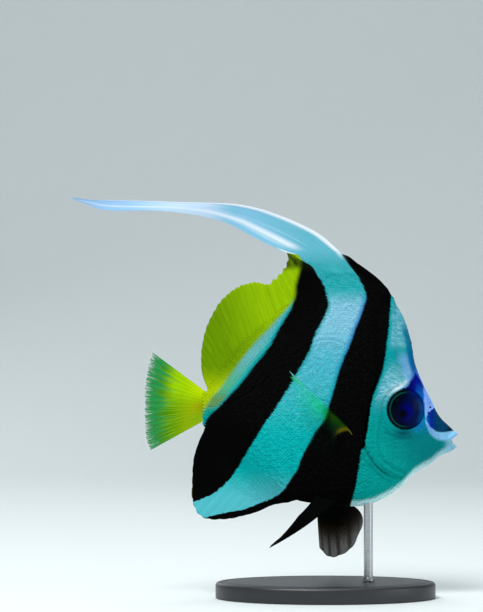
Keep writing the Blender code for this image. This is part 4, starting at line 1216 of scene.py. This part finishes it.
def build_spinous(settings):
    """Eleven stout spines with a notched membrane; the white band runs through it to the pennant."""
    marks = np.arange(len(SPINES))
    number, phase = ray_columns(len(SPINES), 12)
    root_back = np.interp(number, marks, [b for b, _ in SPINES])
    tip = np.stack([np.interp(number, marks, [t[i] for _, t in SPINES]) for i in (0, 1)], axis=1)
    bent = spline([t for _, t in SPINES], number / marks[-1])
    tip = tip + (bent - tip) * smooth(PENNANT_SPINE + 0.5 - number)[:, None]
    root = np.stack([root_back, TOP.up_at(root_back)], axis=1)
    notch = np.where(number > PENNANT_SPINE + 2, 0.05, 0.0) * phase ** 0.8
    lengths = np.linalg.norm(tip - root, axis=1)
    start = -2.6 * MM / lengths
    v = np.linspace(0.0, 1.0, settings.rows)
    along = start[:, None] + v[None, :] * (1.0 - notch - start)[:, None]
    sunk = np.minimum(along, 0.0) * lengths[:, None]
    grid = root[:, None, :] + np.maximum(along, 0.0)[..., None] * (tip - root)[:, None, :]
    grid = grid + sunk[..., None] * np.array([-0.55, 0.83])
    relief = bump(0.5 * phase[:, None], 0.16) * np.clip(1.15 - along, 0.3, 1.0)
    height_mm = np.clip(along, 0.0, 1.0) * lengths[:, None] / MM
    half = fin_half(relief, height_mm, v, settings, ray=settings.spine_half)
    half *= 0.45 + 0.55 * smooth(number / 0.6)[:, None]
    thing = sheet("spinous_fin", place(grid[..., 0], grid[..., 1]), half, number, along)
    finish_piece(thing, fin_material("spinous fin", spinous_tint), "fin_dark", "spinous_dorsal_fin")


def build_pennant(settings):
    """Long filament: a blade of fine rays that turns and thins towards its tip."""
    top, low = Line(PENNANT_TOP), Line(PENNANT_LOW)
    number, phase = ray_columns(15, 6)
    u = number / number[-1]
    v = np.linspace(0.0, 1.0, settings.pennant_rows)
    edge_top, edge_low = top.along(v), low.along(v)
    flat = edge_top[None] * (1 - u)[:, None, None] + edge_low[None] * u[:, None, None]
    rows = 12
    ahead, behind = np.array(PENNANT_FOOT)
    lead = ahead * (1 - u)[:, None] + behind * u[:, None]
    share = np.linspace(0.0, 1.0, rows, endpoint=False)
    sunk = lead[:, None] + (flat[:, :1] - lead[:, None]) * share[None, :, None]
    flat = np.concatenate([sunk, flat], axis=1)
    out = np.concatenate([np.linspace(-0.08, 0.0, rows, endpoint=False), v])
    v = np.maximum(out, 0.0)
    sway = (0.0030 * np.sin(3.4 * v) * v + 0.0016 * np.sin(9.0 * v) * v)[None]
    curl = 0.0022 * np.sin(6.0 * v)[None] * (u - 0.5)[:, None] * np.sin(np.pi * v)[None]
    relief = bump(0.5 * phase, 0.2)[:, None] * np.ones_like(v)[None]
    stem = bump(u * 9.0, 1.0)[:, None]
    body = 0.14 + 0.05 * relief * smooth(v / 0.15)[None] + 0.28 * stem
    half = 0.001 * body * (1.0 - 0.55 * v[None]) * np.sqrt(np.clip((1.01 - v) / 0.05, 0.05, 1.0))[None]
    half[:, :rows] *= np.linspace(0.1, 1.0, rows)[None]
    centre = place(flat[..., 0], flat[..., 1], (sway + curl) / PERCENT)
    thing = sheet("pennant_filament", centre, half, number, out[None])
    finish_piece(thing, fin_material("pennant silk", pennant_tint, ridged=0.15), "pennant", "pennant")


def build_median_fins(settings):
    """Soft dorsal, anal and caudal fins."""
    skin_like = fin_material("median fins", ridged=0.4)
    dorsal = [((b, float(TOP.up_at(b))), tip) for b, tip in SOFT_DORSAL]
    anal = [((b, float(BOTTOM.up_at(b))), tip) for b, tip in ANAL]
    median_fin("soft_dorsal", dorsal, 24, 0.8, skin_like, "fin_yellow", "soft_dorsal_fin", settings)
    median_fin("anal", anal, 21, 0.6, skin_like, "fin_dark", "anal_fin", settings, spines=3)
    tail = fin_material("tail fin", caudal_tint, caudal_alpha, 0.8)
    median_fin("caudal", CAUDAL, 17, 0.7, tail, "fin_yellow", "caudal_fin", settings,
               rough_edge=0.02, sink=3.4)


def paired_fin(name, keys, rays, material, slot, node, settings, stout=1.0, notch=0.06):
    """Fan of rays between keys of root, middle and tip, all in percent with their distance out."""
    number, phase = ray_columns(rays, settings.columns)
    u = number / (rays - 1)
    v = np.linspace(-0.06, 1.0, settings.rows)
    grid = ray_grid(keys, u, v)
    cut = v[None, :, None] ** 3 * (notch * phase ** 1.5)[:, None, None]
    grid = grid + cut * (grid[:, :1] - grid[:, -1:])
    along = np.repeat(np.clip(v, 0.0, 1.0)[None], len(u), axis=0)
    lengths = np.linalg.norm(grid[:, -1] - grid[:, 0], axis=1)
    relief = ray_relief(number, along, wide=0.15)
    relief = np.where(number[:, None] < 0.5, bump(number[:, None], 0.3), relief)
    half = fin_half(relief, along * lengths[:, None] / MM, v, settings, root=0.42 * stout,
                    ray=settings.ray_half * 0.8 * stout)
    thing = sheet(name, place(grid[..., 0], grid[..., 1], grid[..., 2]), half, number, along)
    finish_piece(thing, material, slot, node)


def belly_up_at(back, y):
    """Height of the underside at a distance y from the midline, in percent."""
    low, high = float(BOTTOM.up_at(back)), 0.0
    for _ in range(30):
        middle = 0.5 * (low + high)
        low, high = (middle, high) if half_width(back, middle) < y else (low, middle)
    return low


def build_paired_fins(settings):
    """Pectoral and pelvic fins."""
    clear = fin_material("pectoral fin", pectoral_tint, pectoral_alpha)
    black = fin_material("pelvic fin", black_tint)
    spread_black = fin_material("spread pelvic fin", spread_tint, spread_alpha)
    for side, name in ((-1, "right"), (1, "left")):
        keys = []
        for root, middle, tip, out in PECTORAL:
            skin = float(half_width(np.array(root[0]), np.array(root[1])))
            spread = (skin, skin + PECTORAL_SPREAD, skin + out)
            keys.append([(*point, side * y) for point, y in zip((root, middle, tip), spread)])
        paired_fin("pectoral_" + name, keys, 15, clear, "fin_clear", "pectoral_fin_" + name, settings)
    for side, name, fan, look in ((-1, "right", NEAR_PELVIC, black), (1, "left", FAR_PELVIC, spread_black)):
        keys = []
        for back, middle, tip in fan:
            root = (back, belly_up_at(back, PELVIC_ROOT_Y) + 0.2, side * PELVIC_ROOT_Y)
            keys.append((root, (*middle[:2], side * middle[2]), (*tip[:2], side * tip[2])))
        paired_fin("pelvic_" + name, keys, 6, look, "fin_dark", "pelvic_fin_" + name, settings, 1.3, 0.012)


# Eyes
def turned(name, profile, sides, matrix):
    """Closed turned body about local Z from (radius, height) points; the end radii are zero."""
    profile = np.asarray(profile, float)
    angle = np.linspace(0.0, 2.0 * np.pi, sides, endpoint=False)
    radii, heights = profile[1:-1].T
    rings = np.stack([np.outer(radii, np.cos(angle)), np.outer(radii, np.sin(angle)),
                      np.repeat(heights[:, None], sides, axis=1)], axis=-1)
    ends = np.array([[0.0, 0.0, profile[0, 1]], [0.0, 0.0, profile[-1, 1]]])
    turn, shift = np.array(matrix.to_3x3()).T, np.array(matrix.translation)
    share = np.append(np.repeat(radii, sides), [0.0, 0.0]) / radii.max()
    return ring_body(name, rings @ turn + shift, *(ends @ turn + shift), {"radius": share})


def eye_frame(side):
    """Frame of an eye: local +Z looks out of the head."""
    look = Vector((math.sin(EYE_TURN), side * math.cos(EYE_TURN), 0.0))
    across = Vector((0.0, 0.0, 1.0)).cross(look).normalized()
    turn = Matrix((across * EYE_NARROW, look.cross(across), look)).transposed()
    return Matrix.Translation(Vector(place(EYE_BACK, EYE_UP, side * EYE_RIM_Y))) @ turn.to_4x4()


def build_eyes(settings):
    """Both eyes: raised black rim, groove, and a dome painted with iris and pupil."""
    radius, bulge = settings.radius * 0.001, settings.bulge * 0.001
    shares = np.linspace(0.0, 1.0, 40)
    profile = []
    for share in shares:
        dome = math.cos(0.5 * math.pi * min(share / 0.86, 1.0)) ** 0.8 if share < 0.86 else 0.0
        rim = 0.08 * math.exp(-((share - 0.93) / 0.045) ** 2)
        fall = -0.5 * max(0.0, (share - 0.965) / 0.035) ** 2
        profile.append((share * radius, bulge * (dome + rim) + 0.0004 * fall))
    profile += [(radius, -0.0012), (0.8 * radius, -0.0024), (0.0, -0.0024)]
    material = eye_material()
    for side, name in ((-1, "right"), (1, "left")):
        eye = turned("eye_ball_" + name, profile, 72, eye_frame(side))
        finish_piece(eye, material, "eye", "eye_" + name)


# Stand
def build_stand(settings):
    """Oval painted base and steel rod."""
    low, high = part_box("stand_base")
    centre, half = 0.5 * (low + high), 0.5 * (high - low)
    edge = settings.base_edge * 0.001
    tall = 2.0 * half.z
    bend = np.linspace(0.0, 0.5 * math.pi, 8)
    groove = tall - GROOVE
    rings = [(edge * 0.5, 0.0), (edge * 0.15, edge * 0.15), (0.0, edge * 0.5)]
    rings += [(edge * (1 - math.cos(a)), tall - edge * (1 - math.sin(a))) for a in bend]
    rings += [(edge * 1.6, tall), (edge * 1.9, groove), (edge * 2.3, groove), (edge * 2.6, tall),
              (edge * 6.0, tall)]
    inset, height = np.array(rings).T
    angle = np.linspace(0.0, 2.0 * np.pi, 128, endpoint=False)
    points = np.stack([centre.x + np.outer(half.x - inset, np.cos(angle)),
                       centre.y + np.outer(half.y - inset, np.sin(angle)),
                       np.repeat(height[:, None], len(angle), axis=1)], axis=-1)
    base = ring_body("base_plate", points, (centre.x, centre.y, 0.0), (centre.x, centre.y, tall))
    base.data.set_sharp_from_angle(angle=math.radians(40.0))
    finish_piece(base, base_material(settings), "stand_base", "stand_base")

    low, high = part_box("stand_rod")
    radius, collar = 0.5 * (high.x - low.x), settings.collar * 0.001
    tall = high.z - low.z
    wide = radius + collar
    profile = [(0.0, tall), (radius * 0.8, tall), (radius, tall - radius * 0.2), (radius, 2.2 * collar),
               (radius + 0.5 * collar, 1.9 * collar), (wide, 1.4 * collar), (wide, 0.25 * collar),
               (radius + 0.8 * collar, 0.0), (0.0, 0.0)]
    foot = Matrix.Translation((0.5 * (low.x + high.x), 0.5 * (low.y + high.y), low.z))
    rod = turned("rod", profile, 48, foot)
    rod.data.set_sharp_from_angle(angle=math.radians(35.0))
    finish_piece(rod, rod_material(settings), "stand_rod", "stand_rod")


# Stage
def build_stage(settings):
    """Floor with a rising sweep behind, soft lights and the camera."""
    wide, deep, rise = settings.floor_width, settings.floor_depth, settings.sweep
    bend = np.linspace(0.0, 0.5 * math.pi, 14)
    steps = [(-FLOOR_AHEAD, 0.0), *((deep + rise * math.sin(a), rise * (1 - math.cos(a))) for a in bend),
             (deep + rise, WALL_TOP)]
    points = [(x, y, z) for y, z in steps for x in (-wide, wide)]
    faces = [(2 * i, 2 * i + 1, 2 * i + 3, 2 * i + 2) for i in range(len(steps) - 1)]
    mesh = bpy.data.meshes.new("floor")
    mesh.from_pydata(points, [], faces)
    mesh.shade_smooth()
    mesh.materials.append(floor_material(settings))
    put("floor", mesh)

    for label, spot, size, power, colour in (
            ("key light", (-0.3, -0.65, 1.05), 0.45, settings.key, (1.0, 0.99, 0.97)),
            ("fill light", (1.15, -0.6, 0.2), 0.6, settings.fill, (0.95, 0.98, 1.0)),
            ("top light", (0.0, 0.15, 0.95), 0.5, settings.top, (1.0, 1.0, 1.0)),
            ("back light", (-0.5, 0.8, 0.5), 0.6, settings.back, (0.97, 0.99, 1.0))):
        data = bpy.data.lights.new(label, "AREA")
        data.size = size
        data.energy = power
        data.color = colour
        light = put(label, data)
        light.location = spot
        light.rotation_euler = (Vector(LIT_POINT) - Vector(spot)).to_track_quat("-Z", "Y").to_euler()

    world = bpy.data.worlds.new("soft room")
    world.use_nodes = True
    backdrop = world.node_tree.nodes["Background"]
    backdrop.inputs["Color"].default_value = (0.86, 0.93, 0.97, 1.0)
    backdrop.inputs["Strength"].default_value = settings.room
    bpy.context.scene.world = world

    data = bpy.data.cameras.new("camera")
    data.sensor_width = SENSOR
    data.lens = SENSOR * settings.distance / settings.view_height
    data.clip_start = 0.05
    data.clip_end = 20.0
    camera = put("camera", data)
    camera.location = (settings.camera_x, -settings.distance, settings.camera_z)
    camera.rotation_euler = (math.radians(90.0), 0.0, 0.0)
    bpy.context.scene.camera = camera
    bpy.context.scene.view_settings.view_transform = "Standard"


# Settings
class CoralfishBody(bpy.types.PropertyGroup):
    """Grid and mouth of the skin."""
    head_stations: IntProperty(name="Head stations", description="Rings over the head",
                               default=150, min=20)
    torso_stations: IntProperty(name="Torso stations", description="Rings behind the gills",
                                default=120, min=20)
    heights: IntProperty(name="Heights", description="Points up each flank", default=150, min=20)
    mouth_columns: IntProperty(name="Mouth columns", description="Points across the mouth",
                               default=13, min=5)
    mouth_depth: FloatProperty(name="Mouth depth", description="Depth of the mouth, percent", default=2.6)
    lip_radius: FloatProperty(name="Lip radius", description="Roundness of the lips, percent",
                              default=0.9)


class CoralfishCoat(bpy.types.PropertyGroup):
    """Coat of scales."""
    pitch: FloatProperty(name="Pitch", description="Scale spacing on the body, mm", default=1.35, min=0.5)
    head_pitch: FloatProperty(name="Head pitch", description="Scale spacing on the head, mm",
                              default=0.98, min=0.5)
    fin_pitch: FloatProperty(name="Fin pitch", description="Scale spacing on the fins, mm",
                             default=1.25, min=0.4)
    overlap: FloatProperty(name="Length", description="Length of a scale over its width", default=1.12)
    rise: FloatProperty(name="Rise", description="Height of a tip over the width", default=0.036)
    size: FloatProperty(name="Size", description="Width of a scale over the spacing", default=1.18)
    uneven: FloatProperty(name="Uneven", description="Spread of the sizes", default=0.05)
    patch: FloatProperty(name="Patch", description="Size of a scale on the map", default=0.003)
    seed: IntProperty(name="Seed", description="Seed of the unevenness", default=7)


class CoralfishFins(bpy.types.PropertyGroup):
    """Rays and membranes, half thicknesses in mm."""
    columns: IntProperty(name="Columns", description="Columns for each ray", default=10, min=4)
    rows: IntProperty(name="Rows", description="Points along each ray", default=60, min=10)
    pennant_rows: IntProperty(name="Pennant rows", description="Points along the pennant",
                              default=260, min=30)
    ray_half: FloatProperty(name="Ray", description="Half thickness of a ray, mm", default=0.18)
    membrane_half: FloatProperty(name="Membrane", description="Half thickness of the membrane, mm",
                                 default=0.12)
    spine_half: FloatProperty(name="Spine", description="Half thickness of a spine, mm", default=0.22)
    root_half: FloatProperty(name="Root", description="Half thickness at the root, mm", default=1.02)
    root_fade: FloatProperty(name="Root fade", description="Height over which the root thins, mm",
                             default=9.0)
    seed: IntProperty(name="Seed", description="Seed of the ragged edges", default=3)


class CoralfishEye(bpy.types.PropertyGroup):
    """Size of the eyes."""
    radius: FloatProperty(name="Radius", description="Radius of the eye, mm", default=8.0, min=1.0)
    bulge: FloatProperty(name="Bulge", description="Height of the dome, mm", default=1.35, min=0.1)


class CoralfishStand(bpy.types.PropertyGroup):
    """Edges and tints of the stand."""
    base_edge: FloatProperty(name="Base edge", description="Rounding of the base, mm",
                             default=1.4, min=0.1)
    collar: FloatProperty(name="Collar", description="Rise of the rod's collar, mm",
                          default=0.7, min=0.05)
    paint_dark: FloatVectorProperty(name="Dark paint", description="Darker tint of the painted base",
                                    subtype="COLOR", default=rgb(26, 27, 30)[:3])
    paint_light: FloatVectorProperty(name="Light paint", description="Lighter tint of the painted base",
                                     subtype="COLOR", default=rgb(40, 41, 45)[:3])
    steel_dark: FloatVectorProperty(name="Dark steel", description="Darker tint of the rod",
                                    subtype="COLOR", default=rgb(150, 153, 158)[:3])
    steel_light: FloatVectorProperty(name="Light steel", description="Lighter tint of the rod",
                                     subtype="COLOR", default=rgb(205, 207, 210)[:3])


class CoralfishStage(bpy.types.PropertyGroup):
    """Floor, paper, lights and camera."""
    floor_width: FloatProperty(name="Floor width", description="Half width of the floor",
                               default=3.0, unit="LENGTH")
    floor_depth: FloatProperty(name="Floor depth", description="Flat floor behind the fish",
                               default=0.8, unit="LENGTH")
    sweep: FloatProperty(name="Sweep", description="Radius of the rising sweep",
                         default=0.6, unit="LENGTH")
    key: FloatProperty(name="Key", description="Power of the key light", default=12.0, unit="POWER")
    fill: FloatProperty(name="Fill", description="Power of the fill light", default=3.6, unit="POWER")
    top: FloatProperty(name="Top", description="Power of the top light", default=3.6, unit="POWER")
    back: FloatProperty(name="Back", description="Power of the back light", default=1.6, unit="POWER")
    room: FloatProperty(name="Room", description="Strength of the soft room light", default=0.36)
    distance: FloatProperty(name="Distance", description="Camera to fish", default=1.2, unit="LENGTH")
    view_height: FloatProperty(name="View height", description="Height seen at the fish",
                               default=0.2448, unit="LENGTH")
    camera_x: FloatProperty(name="Camera X", description="Camera's place along the fish",
                            default=-0.0096, unit="LENGTH")
    camera_z: FloatProperty(name="Camera Z", description="Camera's height", default=0.1168, unit="LENGTH")
    paper_dark: FloatVectorProperty(name="Dark paper", description="Darker tint of the studio paper",
                                    subtype="COLOR", default=rgb(214, 222, 224)[:3])
    paper_light: FloatVectorProperty(name="Light paper", description="Lighter tint of the studio paper",
                                     subtype="COLOR", default=rgb(222, 229, 230)[:3])


# Operators
class CORALFISH_OT_skin(bpy.types.Operator):
    """Make the skin of head, torso and tail base"""
    bl_idname = "coralfish.skin"
    bl_label = "Build skin"

    def execute(self, context):
        build_skin(context.scene.coralfish_body)
        return {"FINISHED"}


class CORALFISH_OT_scales(bpy.types.Operator):
    """Make the coat of scales"""
    bl_idname = "coralfish.scales"
    bl_label = "Build scales"

    def execute(self, context):
        build_scales(context.scene.coralfish_coat)
        return {"FINISHED"}


class CORALFISH_OT_spinous(bpy.types.Operator):
    """Make the spinous dorsal fin"""
    bl_idname = "coralfish.spinous"
    bl_label = "Build spinous fin"

    def execute(self, context):
        build_spinous(context.scene.coralfish_fins)
        return {"FINISHED"}


class CORALFISH_OT_pennant(bpy.types.Operator):
    """Make the long filament"""
    bl_idname = "coralfish.pennant"
    bl_label = "Build pennant"

    def execute(self, context):
        build_pennant(context.scene.coralfish_fins)
        return {"FINISHED"}


class CORALFISH_OT_median(bpy.types.Operator):
    """Make dorsal, anal and tail fins"""
    bl_idname = "coralfish.median"
    bl_label = "Build median fins"

    def execute(self, context):
        build_median_fins(context.scene.coralfish_fins)
        return {"FINISHED"}


class CORALFISH_OT_paired(bpy.types.Operator):
    """Make pectoral and pelvic fins"""
    bl_idname = "coralfish.paired"
    bl_label = "Build paired fins"

    def execute(self, context):
        build_paired_fins(context.scene.coralfish_fins)
        return {"FINISHED"}


class CORALFISH_OT_eyes(bpy.types.Operator):
    """Make both eyes"""
    bl_idname = "coralfish.eyes"
    bl_label = "Build eyes"

    def execute(self, context):
        build_eyes(context.scene.coralfish_eye)
        return {"FINISHED"}


class CORALFISH_OT_stand(bpy.types.Operator):
    """Make base and rod"""
    bl_idname = "coralfish.stand"
    bl_label = "Build stand"

    def execute(self, context):
        build_stand(context.scene.coralfish_stand)
        return {"FINISHED"}


class CORALFISH_OT_stage(bpy.types.Operator):
    """Make floor, lights and camera"""
    bl_idname = "coralfish.stage"
    bl_label = "Build stage"

    def execute(self, context):
        build_stage(context.scene.coralfish_stage)
        return {"FINISHED"}


OPERATORS = [CORALFISH_OT_skin, CORALFISH_OT_scales, CORALFISH_OT_spinous, CORALFISH_OT_pennant,
             CORALFISH_OT_median, CORALFISH_OT_paired, CORALFISH_OT_eyes, CORALFISH_OT_stand,
             CORALFISH_OT_stage]
GROUPS = {"coralfish_body": CoralfishBody, "coralfish_coat": CoralfishCoat,
          "coralfish_fins": CoralfishFins, "coralfish_eye": CoralfishEye,
          "coralfish_stand": CoralfishStand, "coralfish_stage": CoralfishStage}


class CORALFISH_PT_panel(bpy.types.Panel):
    """Buttons and settings of the coralfish."""
    bl_label = "Coralfish"
    bl_idname = "CORALFISH_PT_panel"
    bl_space_type = "VIEW_3D"
    bl_region_type = "UI"
    bl_category = "Coralfish"

    def draw(self, context):
        for operator in OPERATORS:
            self.layout.operator(operator.bl_idname)
        for label, group in GROUPS.items():
            box = self.layout.box()
            for key in group.__annotations__:
                box.prop(getattr(context.scene, label), key)


def register():
    for group in GROUPS.values():
        bpy.utils.register_class(group)
    for label, group in GROUPS.items():
        setattr(bpy.types.Scene, label, PointerProperty(type=group))
    for operator in OPERATORS:
        bpy.utils.register_class(operator)
    bpy.utils.register_class(CORALFISH_PT_panel)


def unregister():
    bpy.utils.unregister_class(CORALFISH_PT_panel)
    for operator in reversed(OPERATORS):
        bpy.utils.unregister_class(operator)
    for label, group in GROUPS.items():
        delattr(bpy.types.Scene, label)
        bpy.utils.unregister_class(group)


def main():
    register()
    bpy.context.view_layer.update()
    for operator in OPERATORS:
        getattr(bpy.ops.coralfish, operator.bl_idname.split(".")[1])()


if __name__ == "__main__":
    main()
